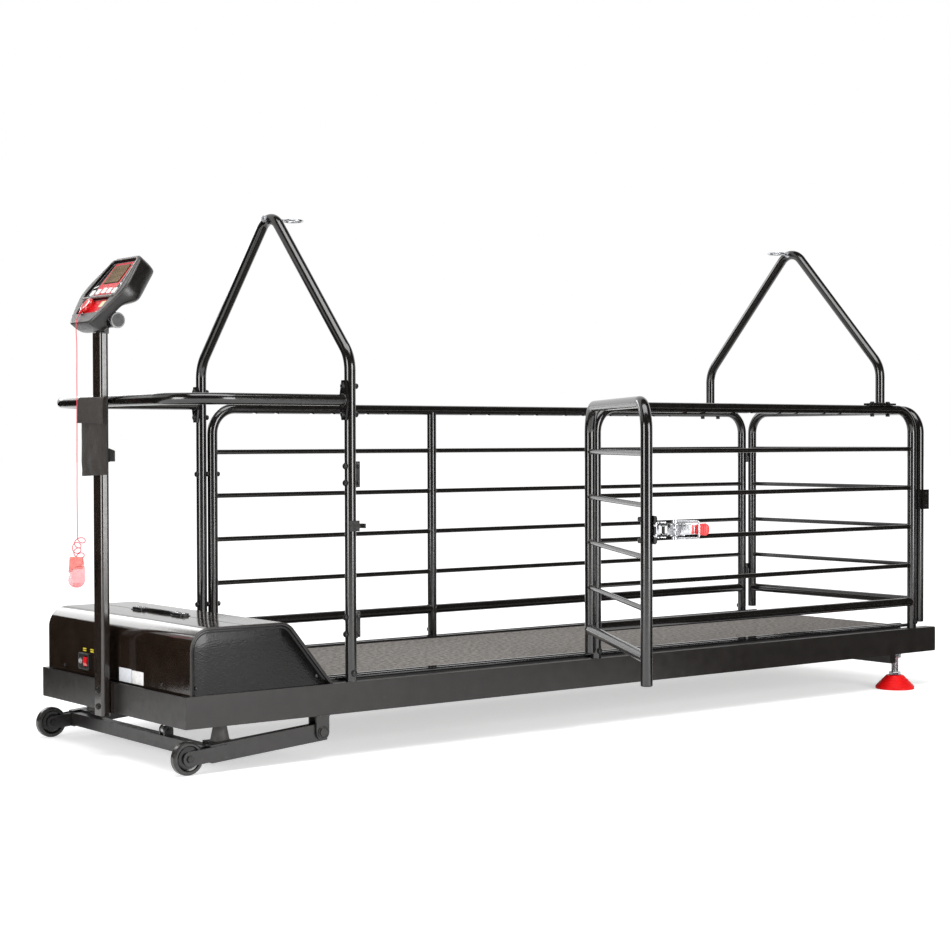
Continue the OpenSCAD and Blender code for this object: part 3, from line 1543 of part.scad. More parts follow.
// Lever with two side plates and a grip, pointing straight out of the gate
module toggle_lever() {
    half = clamp_ear_gap / 2 - apart;
    color(red) on_gate() clamp_frame() translate([0, -clamp_pin_out, 0]) {
        difference() {
            union() {
                for (way = [-1, 1]) translate([0, 0, way * (half - lever_t / 2)]) {
                    block([-lever_w / 2, -lever_l, -lever_t / 2], [lever_w / 2, 0, lever_t / 2]);
                    cylinder(d = lever_w, h = lever_t, center = true);
                    translate([-hook_off, -hook_pin_out, 0])
                        cylinder(d = lever_w, h = lever_t, center = true);
                    block([-hook_off, -hook_pin_out - lever_w / 2, -lever_t / 2],
                          [0, -hook_pin_out + lever_w / 2, lever_t / 2]);
                }
                translate([0, -lever_l + lever_w / 2, 0]) cube([lever_w, lever_w, 2 * half], center = true);
                translate([-hook_off, -hook_pin_out, 0])
                    cylinder(d = clamp_pin_d, h = 2 * half + 4 * hook_wire, center = true);
            }
            cylinder(d = clamp_pin_d + 2 * running, h = 2 * clamp_ear_gap, center = true);
        }
        translate([0, -lever_l, 0]) rotate([90, 0, 0]) linear_extrude(grip_l)
            polygon(rounded([[-grip_w / 2, -grip_h / 2], [grip_w / 2, -grip_h / 2],
                             [grip_w / 2, grip_h / 2], [-grip_w / 2, grip_h / 2]],
                            [for (i = [0:3]) grip_w / 3]));
    }
}

// Hook: a wire bail on the lever's cross pin, with an eye at each end
module toggle_hook() {
    half = clamp_ear_gap / 2 + clamp_ear_t + hook_wire / 2 + overrun;
    eye_r = clamp_pin_d / 2 + running;
    color(steel) on_gate() clamp_frame()
        translate([-hook_off, -clamp_pin_out - hook_pin_out, 0]) {
        for (way = [-1, 1]) translate([0, 0, way * half]) {
            difference() {
                cylinder(r = eye_r + hook_wire / 2, h = hook_wire + overrun, center = true);
                cylinder(r = eye_r, h = 2 * hook_wire, center = true);
            }
        }
        bent_rod([[0, -eye_r - hook_wire / 4, -half], [0, -hook_l, -half],
                  [0, -hook_l, half], [0, -eye_r - hook_wire / 4, half]],
                 [0, hook_wire, hook_wire, 0], hook_wire);
    }
}

// Rear gate with its hinge leaves and latch block
module rear_gate() {
    y1 = rear_gate_half;
    color(black) {
        rotate([0, 0, 90]) panel(-y1, y1, -rear_gate_x, gate_z0);
        for (z = hinge_zs) translate([rear_pin_x, post_y, z]) difference() {
            mirror([1, 0, 0]) gate_leaf(rear_hinge_span / 2);
            translate([rear_hinge_span / 2, y1 - post_y, 0]) cylinder(d = tube_d + 2 * running, h = hinge_h);
        }
        block([rear_gate_x - latch_w / 2, -y1 - tube_r - latch_t, latch_z],
              [rear_gate_x + latch_w / 2, -y1 - tube_r - apart, latch_z + latch_h]);
    }
}

// Stop plates and catch on the near arch post
module gate_stops() {
    x0 = arch_x + tube_r + apart;
    y_in = -post_y + tube_r + overrun;
    color([0.5, 0.5, 0.51]) {
        for (z = stop_zs) difference() {
            union() {
                block([x0, -post_y - stop_t, z - stop_h / 2], [x0 + stop_t, y_in + stop_t, z + stop_h / 2]);
                block([x0, y_in, z - stop_h / 2], [x0 + stop_l, y_in + stop_t, z + stop_h / 2]);
            }
            for (way = [-1, 1]) translate([x0 - overrun, -post_y, z + way * stop_pitch]) to_x()
                cylinder(d = bolt_d + 2 * seat, h = 2 * stop_t);
        }
        translate([arch_x, -half_w - apart, clamp_z]) {
            block([-catch_w / 2, -catch_t, -catch_h / 2], [catch_w / 2, 0, catch_h / 2]);
            block([0, -catch_t, -catch_arm_h / 2], [catch_reach, 0, catch_arm_h / 2]);
            block([catch_reach - catch_t, -catch_t - catch_lip, -catch_arm_h / 2],
                  [catch_reach, 0, catch_arm_h / 2]);
        }
    }
}

side_rail_near();
side_rail_far();
front_apron();
cross_members();
belly_pan();
running_deck();
running_belt();
foot_strips();
roller_axles();
front_roller();
rear_roller();
drive_motor();
motor_pulley();
drive_belt();
control_box();
lift_brackets();
lift_frame();
lift_bumpers();
lift_pins();
wheel_near();
wheel_far();
actuator_body();
actuator_rod();
foot_near();
foot_far();
foot_studs();
motor_hood();
hood_side_plates();
hood_strap();
switch_bezel();
power_switch();
reset_button();
console_post();
console_yoke();
console_shell();
console_bezel();
display_lens();
console_key_1();
console_key_2();
console_key_3();
console_key_4();
console_key_5();
safety_key();
safety_cord();
cord_clip();
remote_pouch();
handlebar();
front_arch();
rear_arch();
tether_eyes();
far_panel();
near_panel();
frame_bolts();
gate_hinges();
gate_stops();
side_gate();
toggle_clamp();
toggle_lever();
toggle_hook();
rear_gate();
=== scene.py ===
import bmesh
import bpy
from math import acos, copysign, cos, pi, radians, sin, sqrt, tan
from mathutils import Matrix, Vector, noise
from mathutils.geometry import tessellate_polygon


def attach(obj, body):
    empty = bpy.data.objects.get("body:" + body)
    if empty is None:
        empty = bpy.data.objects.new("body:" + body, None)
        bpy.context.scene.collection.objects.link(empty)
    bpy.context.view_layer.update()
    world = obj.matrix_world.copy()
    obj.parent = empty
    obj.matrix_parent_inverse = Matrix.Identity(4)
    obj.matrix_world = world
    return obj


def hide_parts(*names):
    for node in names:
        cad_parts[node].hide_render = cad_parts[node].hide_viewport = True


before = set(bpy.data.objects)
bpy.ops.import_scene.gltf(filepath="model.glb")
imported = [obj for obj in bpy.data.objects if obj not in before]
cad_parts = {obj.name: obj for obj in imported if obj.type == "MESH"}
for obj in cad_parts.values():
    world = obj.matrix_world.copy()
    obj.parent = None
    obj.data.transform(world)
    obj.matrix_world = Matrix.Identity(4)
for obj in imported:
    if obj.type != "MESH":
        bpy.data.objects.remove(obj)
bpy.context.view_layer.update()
scene = bpy.context.scene
scene.view_settings.view_transform = "Standard"

# Shapes are written in millimetres in the part's frame; meshes are stored in metres.
MM = 0.001
# Base: top, rear end and middle of the side rails, half the width, and the rear feet, which stand under the rails
RAIL_TOP, RAIL_END, RAIL_Y, HALF_W, FOOT_X = 195.0, 1420, 388, 408, 1240
# Posts of the side panels and of the arches, the bolts at their feet, and the console's post
POST_Y, NEAR_POSTS, FAR_POSTS = 393, (-74, 1318), (-886, -85, 1318)
FRONT_ARCH_X, REAR_ARCH_X, POST_BOLT_Z, CONSOLE_POST_X = -923, 1158, 217, -1441
# Thin bars and bottom tubes of the panels and gates, the open lower ends of the gates, and the rear gate's axis
BAR_ZS, LOW_Z, GATE_FOOT_Z, REAR_GATE_X = [791.0, 662.0, 533.0, 404.0], 283.0, 217, 1364
# Front of the handlebar's bolted flanges
FLANGE_X, FLANGE_Z = -944.6, 930
FRONT, REAR, UP, DOWN = (-1, 0, 0), (1, 0, 0), (0, 0, 1), (0, 0, -1)


def turn(degrees, axis):
    return Matrix.Rotation(radians(degrees), 4, axis)


def shift(x, y, z):
    return Matrix.Translation(Vector((x, y, z)))


ON_CONSOLE = shift(-1425, 0, 1137) @ turn(-51.7, "Y")
ON_GATE = shift(-104, -POST_Y, 0) @ turn(60, "Z")
ON_REAR_GATE = shift(REAR_GATE_X, 0, 0) @ turn(90, "Z")
CLAMP = ON_GATE @ shift(-768, -20.3, 602)


def facing(origin, normal):
    """A frame whose z axis is the normal."""
    return Matrix.Translation(Vector(origin)) @ Vector(normal).to_track_quat("Z", "Y").to_matrix().to_4x4()


def linked(name, data):
    ob = bpy.data.objects.new(name, data)
    scene.collection.objects.link(ob)
    return ob


# Camera at the photograph's viewing angle
def make_camera():
    yaw, pitch, roll = (radians(a) for a in (37.463, 1.087, -0.136))
    forward = Vector((sin(yaw) * cos(pitch), cos(yaw) * cos(pitch), -sin(pitch)))
    right = Vector((cos(yaw), -sin(yaw), 0))
    up = right.cross(forward)
    side = cos(roll) * right + sin(roll) * up
    top = -sin(roll) * right + cos(roll) * up
    data = bpy.data.cameras.new("camera")
    data.lens, data.sensor_width, data.sensor_fit = 72.24, 36, "HORIZONTAL"
    data.clip_end = 200
    cam = linked("camera", data)
    eye = Vector((-3.6918, -4.5417, 0.8284))
    cam.matrix_world = Matrix([(side[k], top[k], -forward[k], eye[k]) for k in range(3)] + [(0, 0, 0, 1)])
    scene.camera = cam


make_camera()


# Materials
def lin(r, g, b):
    def one(c):
        c /= 255
        return c / 12.92 if c <= 0.04045 else ((c + 0.055) / 1.055) ** 2.4
    return (one(r), one(g), one(b), 1)


def tree(holder):
    """Nodes of a material or world, and the call that links their sockets."""
    holder.use_nodes = True
    return holder.node_tree.nodes, holder.node_tree.links.new


def put(node, **values):
    """Set a node's sockets; an underscore in a name stands for a space."""
    for key, value in values.items():
        node.inputs[key.replace("_", " ")].default_value = value


def material(name, dark, light, grain, rough, bumps=(), metal=0.0, level=0.5, coat=0.0, clear=0.0,
             sheen=0.0, stretch=(1, 1, 1), spots=None):
    """Principled surface: two colours mixed by noise, roughness from noise, and a stack of bumps.

    A bump is (scale, height in mm, strength) in noise, or has "Voronoi" or "Wave" before these.
    spots is (colour, scale, threshold) for specks laid over the two colours.
    """
    m = bpy.data.materials.new(name)
    nodes, link = tree(m)
    body = nodes["Principled BSDF"]
    coords = nodes.new("ShaderNodeTexCoord")
    mapping = nodes.new("ShaderNodeMapping")
    put(mapping, Scale=stretch)
    link(coords.outputs["Object"], mapping.inputs["Vector"])

    def texture(kind, scale, detail=4.0):
        t = nodes.new("ShaderNodeTex" + kind)
        if kind == "Voronoi":
            t.feature = "SMOOTH_F1"
        elif kind == "Wave":
            t.bands_direction = "DIAGONAL"
            put(t, Distortion=0.6)
        else:
            put(t, Detail=detail)
        put(t, Scale=scale)
        link(mapping.outputs["Vector"], t.inputs["Vector"])
        return t.outputs["Distance" if kind == "Voronoi" else "Fac"]

    ramp = nodes.new("ShaderNodeValToRGB")
    for stop, place, shade in zip(ramp.color_ramp.elements, (0.32, 0.68), (dark, light)):
        stop.position, stop.color = place, lin(*shade)
    link(texture("Noise", grain), ramp.inputs["Fac"])
    colour = ramp.outputs["Color"]
    if spots:
        tint, scale, edge = spots
        pick = nodes.new("ShaderNodeMapRange")
        put(pick, From_Min=edge, From_Max=edge + 0.08)
        link(texture("Noise", scale, 6), pick.inputs["Value"])
        mix = nodes.new("ShaderNodeMix")
        mix.data_type = "RGBA"
        put(mix, B=lin(*tint))
        link(pick.outputs["Result"], mix.inputs["Factor"])
        link(colour, mix.inputs["A"])
        colour = mix.outputs["Result"]
    link(colour, body.inputs["Base Color"])
    spread = nodes.new("ShaderNodeMapRange")
    put(spread, From_Min=0.3, From_Max=0.7, To_Min=rough[0], To_Max=rough[1])
    link(texture("Noise", grain * 2.3), spread.inputs["Value"])
    link(spread.outputs["Result"], body.inputs["Roughness"])
    normal = None
    for *kind, scale, height, strength in bumps:
        bump = nodes.new("ShaderNodeBump")
        put(bump, Distance=height * MM, Strength=strength)
        link(texture(kind[0] if kind else "Noise", scale), bump.inputs["Height"])
        if normal:
            link(normal, bump.inputs["Normal"])
        normal = bump.outputs["Normal"]
    if normal:
        link(normal, body.inputs["Normal"])
    put(body, Metallic=metal, Specular_IOR_Level=level, Coat_Weight=coat, Transmission_Weight=clear,
        Sheen_Weight=sheen)
    return m


PAINT = material("tube_paint", (17, 15, 14), (24, 22, 21), 60, (0.12, 0.18), [(500, 0.015, 0.12)], level=0.75)
# The console post has a lighter copy of the tube paint: painted light for the light that falls on its front face
LIT_POST_PAINT = material("post_paint_lit", (32, 26, 22), (40, 33, 29), 60, (0.12, 0.18), [(500, 0.015, 0.12)], level=0.75)
RAIL = material("rail_paint", (27, 24, 22), (35, 32, 30), 22, (0.3, 0.4), [(900, 0.04, 0.2)], level=0.45,
                spots=((37, 35, 34), 60, 0.67))
LIFT = material("lift_paint", (28, 26, 25), (38, 36, 35), 30, (0.28, 0.4), [(700, 0.05, 0.25)],
                spots=((52, 50, 48), 70, 0.67))
GLOSS = material("hood_gloss", (28, 20, 15), (36, 28, 22), 18, (0.08, 0.13),
                 [("Voronoi", 210, 0.09, 0.5), (500, 0.03, 0.2)])
PEBBLE = material("hood_pebble", (5, 4, 4), (13, 12, 11), 240, (0.12, 0.22),
                  [("Voronoi", 300, 0.24, 0.9), (1100, 0.08, 0.4)], level=0.3)
BEAD = material("hood_bead", (12, 10, 9), (18, 16, 15), 50, (0.12, 0.2), [(700, 0.03, 0.15)])
BELT = material("belt_rubber", (74, 71, 68), (144, 139, 134), 80, (0.72, 0.88), [(330, 0.5, 0.5), (1200, 0.2, 0.6)],
                level=0.3, spots=((158, 153, 148), 150, 0.6))
BOARD = material("deck_board", (30, 28, 27), (44, 42, 40), 30, (0.4, 0.55), [(160, 0.1, 0.3)], stretch=(0.15, 1, 1))
STRIP = material("strip_plastic", (20, 20, 21), (30, 29, 29), 50, (0.05, 0.09), [(120, 0.02, 0.1)], level=0.7)
RUBBER = material("black_rubber", (38, 37, 36), (52, 51, 50), 80, (0.18, 0.28), [(700, 0.06, 0.3)])
GREY_RUBBER = material("grey_rubber", (66, 65, 64), (84, 82, 80), 60, (0.55, 0.7), [(500, 0.15, 0.4)])
RED_RUBBER = material("red_rubber", (204, 6, 9), (224, 12, 15), 40, (0.45, 0.58), [(420, 0.12, 0.3)], level=0.2)
RED = material("red_plastic", (190, 18, 26), (214, 30, 36), 60, (0.2, 0.3), [(300, 0.05, 0.2)])
GRIP = material("grip_vinyl", (224, 40, 44), (240, 60, 60), 70, (0.3, 0.42), [(500, 0.1, 0.3)])
RED_CLEAR = material("key_clear_red", (226, 30, 34), (244, 52, 46), 60, (0.1, 0.18), [(200, 0.08, 0.2)], clear=0.45,
                     coat=0.4)
CHROME = material("chrome", (160, 161, 164), (198, 199, 202), 45, (0.2, 0.32), [(400, 0.03, 0.2)], metal=1.0)
ZINC = material("zinc_steel", (150, 151, 153), (190, 190, 190), 120, (0.25, 0.42), [(900, 0.05, 0.3)], metal=1.0)
MOTOR = material("motor_metal", (70, 71, 74), (104, 105, 108), 60, (0.35, 0.5), [(500, 0.1, 0.3)], metal=0.7)
STOP = material("stop_metal", (30, 29, 28), (46, 45, 44), 70, (0.24, 0.36), [(600, 0.05, 0.25)], metal=0.2)
BOLT = material("black_bolt", (28, 27, 27), (52, 51, 50), 160, (0.22, 0.36), [(900, 0.05, 0.3)], metal=0.5)
PLASTIC = material("black_plastic", (24, 23, 23), (36, 35, 34), 70, (0.34, 0.46), [(900, 0.08, 0.35)])
SHELL = material("console_plastic", (22, 20, 19), (28, 26, 25), 40, (0.26, 0.32), [(600, 0.02, 0.1)])
RIM = material("console_rim", (50, 48, 47), (60, 58, 57), 40, (0.28, 0.34), [(600, 0.02, 0.1)])
SILVER = material("console_silver", (116, 113, 111), (140, 137, 135), 60, (0.3, 0.38), [(600, 0.02, 0.1)], metal=0.2)
CAP = material("cap_grey", (150, 149, 149), (168, 167, 167), 60, (0.42, 0.55), [(900, 0.1, 0.35)])
FACE_BLACK = material("face_black", (9, 9, 10), (16, 15, 16), 60, (0.2, 0.3), [(200, 0.03, 0.15)], level=0.3)
FACE_RED = material("face_red", (186, 16, 30), (206, 26, 38), 60, (0.22, 0.32), [(200, 0.03, 0.15)], level=0.3)
WHITE = material("white_plastic", (222, 221, 220), (238, 237, 236), 60, (0.25, 0.36), [(600, 0.05, 0.2)])
CREAM = material("cream_label", (228, 202, 160), (240, 218, 180), 80, (0.3, 0.4), [(400, 0.03, 0.2)])
LENS = material("lens_plastic", (88, 63, 22), (104, 77, 32), 30, (0.2, 0.28), [(200, 0.02, 0.1)], level=0.1)
SEGMENT = material("lens_segments", (66, 47, 17), (76, 56, 24), 60, (0.2, 0.3), [(300, 0.02, 0.1)], level=0.1)
CORD = material("cord_fabric", (204, 34, 60), (224, 62, 84), 900, (0.5, 0.65), [("Wave", 1500, 0.25, 0.5)], sheen=0.2)
CLIP = material("clip_plastic", (250, 168, 172), (254, 190, 192), 50, (0.16, 0.26), [(300, 0.08, 0.2)], clear=0.35)
CLIP_TOP = material("clip_jaw_plastic", (250, 128, 122), (252, 158, 148), 60, (0.16, 0.26), [(300, 0.08, 0.2)],
                    clear=0.35)
CLOTH = material("pouch_fabric", (46, 42, 40), (60, 56, 53), 500, (0.84, 0.95),
                 [("Wave", 1300, 0.25, 0.6), (60, 1.0, 0.3)], level=0.2, sheen=0.15)
STRAP = material("strap_fabric", (32, 31, 31), (44, 43, 42), 600, (0.8, 0.92), [("Wave", 900, 0.3, 0.6)], level=0.2,
                 sheen=0.15)
THREAD = material("thread", (40, 38, 37), (52, 50, 48), 900, (0.7, 0.85), [("Wave", 2600, 0.15, 0.5)], sheen=0.1)
YELLOW = material("yellow_mark", (214, 196, 40), (232, 214, 60), 90, (0.3, 0.4), [(500, 0.03, 0.2)])
PAPER = material("blank_label", (206, 209, 214), (222, 224, 228), 90, (0.35, 0.5), [(700, 0.03, 0.2)])
SCREW = material("screw_steel", (176, 176, 178), (214, 214, 216), 160, (0.16, 0.28), [(900, 0.03, 0.2)], metal=1.0)
WELD = material("weld_bead", (34, 32, 31), (56, 54, 52), 180, (0.18, 0.3), [(400, 0.2, 0.5)])

NODE_MATERIALS = {
    PAINT: "front_arch rear_arch handlebar far_panel near_panel side_gate rear_gate gate_hinges",
    LIT_POST_PAINT: "console_post",
    RAIL: "side_rail_near side_rail_far front_apron cross_members belly_pan",
    LIFT: "lift_brackets lift_frame",
    GLOSS: "motor_hood",
    PEBBLE: "hood_side_plates",
    BOARD: "running_deck",
    BELT: "running_belt",
    STRIP: "foot_strips",
    ZINC: "roller_axles front_roller rear_roller motor_pulley actuator_rod",
    MOTOR: "drive_motor control_box actuator_body",
    RUBBER: "drive_belt wheel_near wheel_far",
    GREY_RUBBER: "lift_bumpers",
    RED_RUBBER: "foot_near foot_far",
    BOLT: "frame_bolts lift_pins",
    CHROME: "foot_studs tether_eyes toggle_lever toggle_hook",
    PLASTIC: "hood_strap switch_bezel console_yoke toggle_clamp",
    RED: "power_switch",
    CAP: "reset_button",
    SHELL: "console_shell",
    RIM: "console_bezel",
    LENS: "display_lens",
    WHITE: "console_key_1 console_key_2 console_key_3 console_key_4 console_key_5",
    RED_CLEAR: "safety_key",
    CORD: "safety_cord",
    CLIP: "cord_clip",
    CLOTH: "remote_pouch",
    STOP: "gate_stops",
}
for mat, names in NODE_MATERIALS.items():
    for name in names.split():
        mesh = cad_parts[name].data
        if not mesh.materials:
            mesh.materials.append(mat)
        for i in range(len(mesh.materials)):
            mesh.materials[i] = mat


# Mesh building
def circle(r, n, start=0.0):
    return [(r * cos(start + 2 * pi * j / n), r * sin(start + 2 * pi * j / n)) for j in range(n)]


def at_z(outline, z):
    return [(x, y, z) for x, y in outline]


class Shape:
    """Vertices and faces gathered from lofts, lathes, sweeps and slabs, with a material for each face.

    The shape's own place is used by calls that give none.
    """

    def __init__(self, place=None):
        self.verts, self.faces, self.mats, self.place = [], [], [], place

    def add(self, verts, faces, mat=0, place=None):
        n, place = len(self.verts), place or self.place
        self.verts += [place @ Vector(v) if place else Vector(v) for v in verts]
        self.faces += [[n + i for i in f] for f in faces]
        self.mats += [mat] * len(faces)

    def loft(self, rings, mat=0, place=None, caps=(True, True)):
        k = len(rings[0])
        verts = [v for r in rings for v in r]
        faces = []
        for i in range(len(rings) - 1):
            for j in range(k):
                m = (j + 1) % k
                faces.append([i * k + j, i * k + m, (i + 1) * k + m, (i + 1) * k + j])
        if caps[0]:
            faces.append(list(range(k))[::-1])
        if caps[1]:
            faces.append([(len(rings) - 1) * k + j for j in range(k)])
        self.add(verts, faces, mat, place)

    def lathe(self, profile, place, mat=0, steps=32, caps=(True, True)):
        self.loft([at_z(circle(r, steps), z) for r, z in profile], mat, place, caps)

    def slab(self, outline, z0, z1, mat=0, place=None, edge=0.0):
        """Extruded outline; with an edge size, outline(inset) gives the outlines for its rounded ends."""
        rings = [at_z(outline, z) for z in (z0, z1)] if not edge else [at_z(outline(i), z) for i, z in (
            (edge, z0), (edge * 0.3, z0 + edge * 0.3), (0, z0 + edge),
            (0, z1 - edge), (edge * 0.3, z1 - edge * 0.3), (edge, z1))]
        self.loft(rings, mat, place)

    def brick(self, low, high, mat=0, place=None, edge=1.0, radius=2.0):
        cx, cy = (low[0] + high[0]) / 2, (low[1] + high[1]) / 2
        a, b = (high[0] - low[0]) / 2, (high[1] - low[1]) / 2
        radius = min(radius, a * 0.95, b * 0.95)
        edge = min(edge, radius, (high[2] - low[2]) * 0.45)

        def outline(i):
            return [(cx + x, cy + y) for x, y in round_box(a - i, b - i, max(radius - i, 0.05), 4)]
        self.slab(outline, low[2], high[2], mat, place, edge)

    def sweep(self, points, radius, mat=0, sides=8, closed=False, place=None, ripple=0.0):
        pts = [Vector(p) for p in points]
        n = len(pts)
        rings, e = [], None
        for i, p in enumerate(pts):
            a = pts[i - 1] if i or closed else pts[0]
            b = pts[(i + 1) % n] if i < n - 1 or closed else pts[-1]
            t = (b - a).normalized()
            e = t.orthogonal().normalized() if e is None else (e - t * e.dot(t)).normalized()
            f = t.cross(e)
            r = radius * (1 + ripple * sin(i * 2.1))
            rings.append([p + e * x + f * y for x, y in circle(r, sides)])
        if closed:
            rings.append(rings[0])
        self.loft(rings, mat, place, caps=(not closed, not closed))

    def sheet(self, outlines, z, mat=0, place=None):
        """Flat face at z: the first outline is filled and the others are holes."""
        loops = [[Vector((x, y, z)) for x, y in o] for o in outlines]
        verts = [v for loop in loops for v in loop]
        self.add(verts, [list(t) for t in tessellate_polygon(loops)], mat, place)

    def made(self, name, mats, body, slot, replaces=(), sharp=38):
        mesh = bpy.data.meshes.new(name)
        mesh.from_pydata([v * MM for v in self.verts], [], self.faces)
        for m in mats:
            mesh.materials.append(m)
        for p, i in zip(mesh.polygons, self.mats):
            p.material_index = i
        work = bmesh.new()
        work.from_mesh(mesh)
        bmesh.ops.recalc_face_normals(work, faces=work.faces)
        work.to_mesh(mesh)
        work.free()
        mesh.shade_smooth()
        mesh.set_sharp_from_angle(angle=radians(sharp))
        mesh.update()
        ob = linked(name, mesh)
        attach(ob, body)
        if replaces:
            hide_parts(*replaces)
        return ob


def rounded(points, radii, n=8):
    """Polygon with rounded corners, as in the part's source."""
    out, k = [], len(points)
    for i in range(k):
        p, v, q, r = Vector(points[i - 1]), Vector(points[i]), Vector(points[(i + 1) % k]), radii[i]
        if r == 0:
            out.append((v.x, v.y))
            continue
        a, b = (v - p).normalized(), (q - v).normalized()
        angle = acos(max(-1, min(1, a.dot(b))))
        side = 1 if a.x * b.y - a.y * b.x > 0 else -1
        s = v - a * r * tan(angle / 2)
        c = s + side * r * Vector((-a.y, a.x))
        w = s - c
        for j in range(n + 1):
            t = side * angle * j / n
            out.append((c.x + w.x * cos(t) - w.y * sin(t), c.y + w.x * sin(t) + w.y * cos(t)))
    return out


def round_box(a, b, r, n=6):
    """Rounded rectangle of half-sizes a and b."""
    return rounded([(-a, -b), (a, -b), (a, b), (-a, b)], [r] * 4, n)


def smooth_step(t):
    t = max(0.0, min(1.0, t))
    return t * t * (3 - 2 * t)


# Cord of the safety key: from the key's lug, down, and round its bunch of loops
CORD_DROP = [(-8, -6, -10), (-15, -13, -21), (-19, -19, -35), (-21, -24, -53), (-21, -27, -77), (-21, -27, -120),
             (-21, -26, -160), (-21, -26, -210), (-21, -25, -260), (-21, -25, -310), (-21, -24, -360),
             (-21, -24, -410), (-21, -23, -460), (-20.5, -22.3, -510), (-18.8, -19.2, -550), (-17.4, -17.2, -578)]
# Turn of the clip, and of the loops above it, round the cord
HANG = turn(-37.5, "Z")


def smooth_path(route, n):
    """Catmull-Rom points along a route."""
    points = []
    for i in range(len(route) - 1):
        p0, p1, p2 = route[max(i - 1, 0)], route[i], route[i + 1]
        p3 = route[min(i + 2, len(route) - 1)]
        for j in range(n):
            t = j / n
            points.append(0.5 * (2 * p1 + (p2 - p0) * t + (2 * p0 - 5 * p1 + 4 * p2 - p3) * t * t
                                 + (3 * p1 - p0 - 3 * p2 + p3) * t ** 3))
    return points + [route[-1]]


def cord_bunch(turns=4, n=72):
    """Loops of spare cord, as places right, out and down in the plane that the clip hangs in."""
    spots = []
    for i in range(1, n + 1):
        s = i / n
        swell = sin(pi * s) ** 2
        wide, high = 11.0 + 1.5 * sin(10 * s) * swell, 10.0 + 1.0 * cos(13 * s) * swell
        a = pi * (1 + 2 * turns * s)
        spots.append((11 - s - 13 * swell + wide * cos(a), -14 * s, -4 - 52 * s + high * sin(a)))
    return spots


def make_cord():
    start = ON_CONSOLE @ Vector((-18, 27, 60.05))
    out = ON_CONSOLE @ Vector((-23, 27, 60.05))
    route = [start, out] + [out + Vector(p) for p in CORD_DROP]
    top = route[-1]
    route += [top + HANG @ Vector(p) for p in cord_bunch()]
    last = route[-1]
    route += [last + Vector((0, 0, -d)) for d in (8, 16, 24)]
    points = smooth_path(route, 4)
    curve = bpy.data.curves.new("pull_cord", "CURVE")
    curve.dimensions, curve.bevel_depth, curve.bevel_resolution = "3D", 1.1 * MM, 3
    curve.use_fill_caps = True
    line = curve.splines.new("POLY")
    line.points.add(len(points) - 1)
    for spot, p in zip(line.points, points):
        spot.co = (p.x * MM, p.y * MM, p.z * MM, 1)
    curve.materials.append(CORD)
    ob = linked("pull_cord", curve)
    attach(ob, "safety_key")
    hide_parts("safety_cord")
    length = sum((b - a).length for a, b in zip(points, points[1:])) * MM
    return ob, out, length, last


def make_clip(end):
    """Spring clip: a rounded tongue with a notch in one side, and a shorter jaw on a pin."""
    place = shift(end.x, end.y, end.z + 3) @ HANG @ turn(90, "X")
    s = Shape(place)

    def tongue(i):
        a, b = 17 - i, 22 - i
        return rounded([(-a, -i), (a, -i), (b - 1, -30), (b, -80 + i), (-b, -80 + i), (-b, -52), (-b + 5, -48),
                        (-b + 5, -43), (-b + 1, -40)], [4, 4, 20, 20 - i, 20 - i, 2, 2, 2, 3], 6)

    def jaw(i):
        a = 16.5 - i
        return rounded([(-a, 0.5 - i), (a, 0.5 - i), (a + 1, -20 + i), (2, -24 + i), (-a - 3, -40 + i)],
                       [3, 3, 4, 8, 2], 6)
    s.slab(tongue, -5.2, -1.2, edge=1.2)
    s.slab(jaw, 1.2, 5.2, 1, edge=1.2)
    s.lathe([(2.6, -11), (3.4, -10), (3.4, 10), (2.6, 11)], place @ shift(6, -27, 0) @ turn(90, "Y"), 1, 20)
    for i in range(6):
        s.brick((-10 + i * 3.6, -78, -1.4), (-8.4 + i * 3.6, -68, 0.4), edge=0.3, radius=0.6)
    return s.made("cord_clip_jaws", [CLIP, CLIP_TOP], "safety_key", "clip_plastic", ["cord_clip"])


cord, cord_exit, cord_length, cord_end = make_cord()
clip = make_clip(cord_end)


# Small hardware
def pan_screw(s, at, normal, r=4.0, steel=0, dark=1):
    place = facing(at, normal)
    s.lathe([(r, 0), (r, r * 0.25), (r * 0.86, r * 0.48), (r * 0.55, r * 0.62), (r * 0.2, r * 0.66)], place, steel, 20)
    for a, b in ((r * 0.5, r * 0.11), (r * 0.11, r * 0.5)):
        s.brick((-a, -b, r * 0.5), (a, b, r * 0.69), dark, place, edge=0.05, radius=0.1)


def hex_nut(s, at, normal, across=15.2, h=7):
    profile = ((across * 0.46, 0), (across * 0.5, h * 0.14), (across * 0.5, h * 0.86), (across * 0.46, h))
    s.loft([at_z(circle(r, 6, 0.3), z) for r, z in profile], 0, facing(at, normal))


def washer(s, at, normal, r, h=1.4):
    s.lathe([(r * 0.6, 0), (r * 0.96, 0), (r, h * 0.3), (r, h * 0.7), (r * 0.96, h), (r * 0.6, h)],
            facing(at, normal), 0, 24)


def dome_bolt(s, at, normal, r=7.6):
    """Round head on a washer, with a round socket."""
    washer(s, at, normal, r * 1.25, 1.2)
    s.lathe([(r, 1.2), (r, 2.2), (r * 0.9, 4.2), (r * 0.7, 5.4), (r * 0.45, 5.9), (r * 0.42, 5.9), (r * 0.4, 4.4)],
            facing(at, normal), 0, 24)


def bead(s, spots, thick=1.9):
    """Weld bead round a joint."""
    s.sweep(spots, thick, 0, 6, closed=True, ripple=0.12)


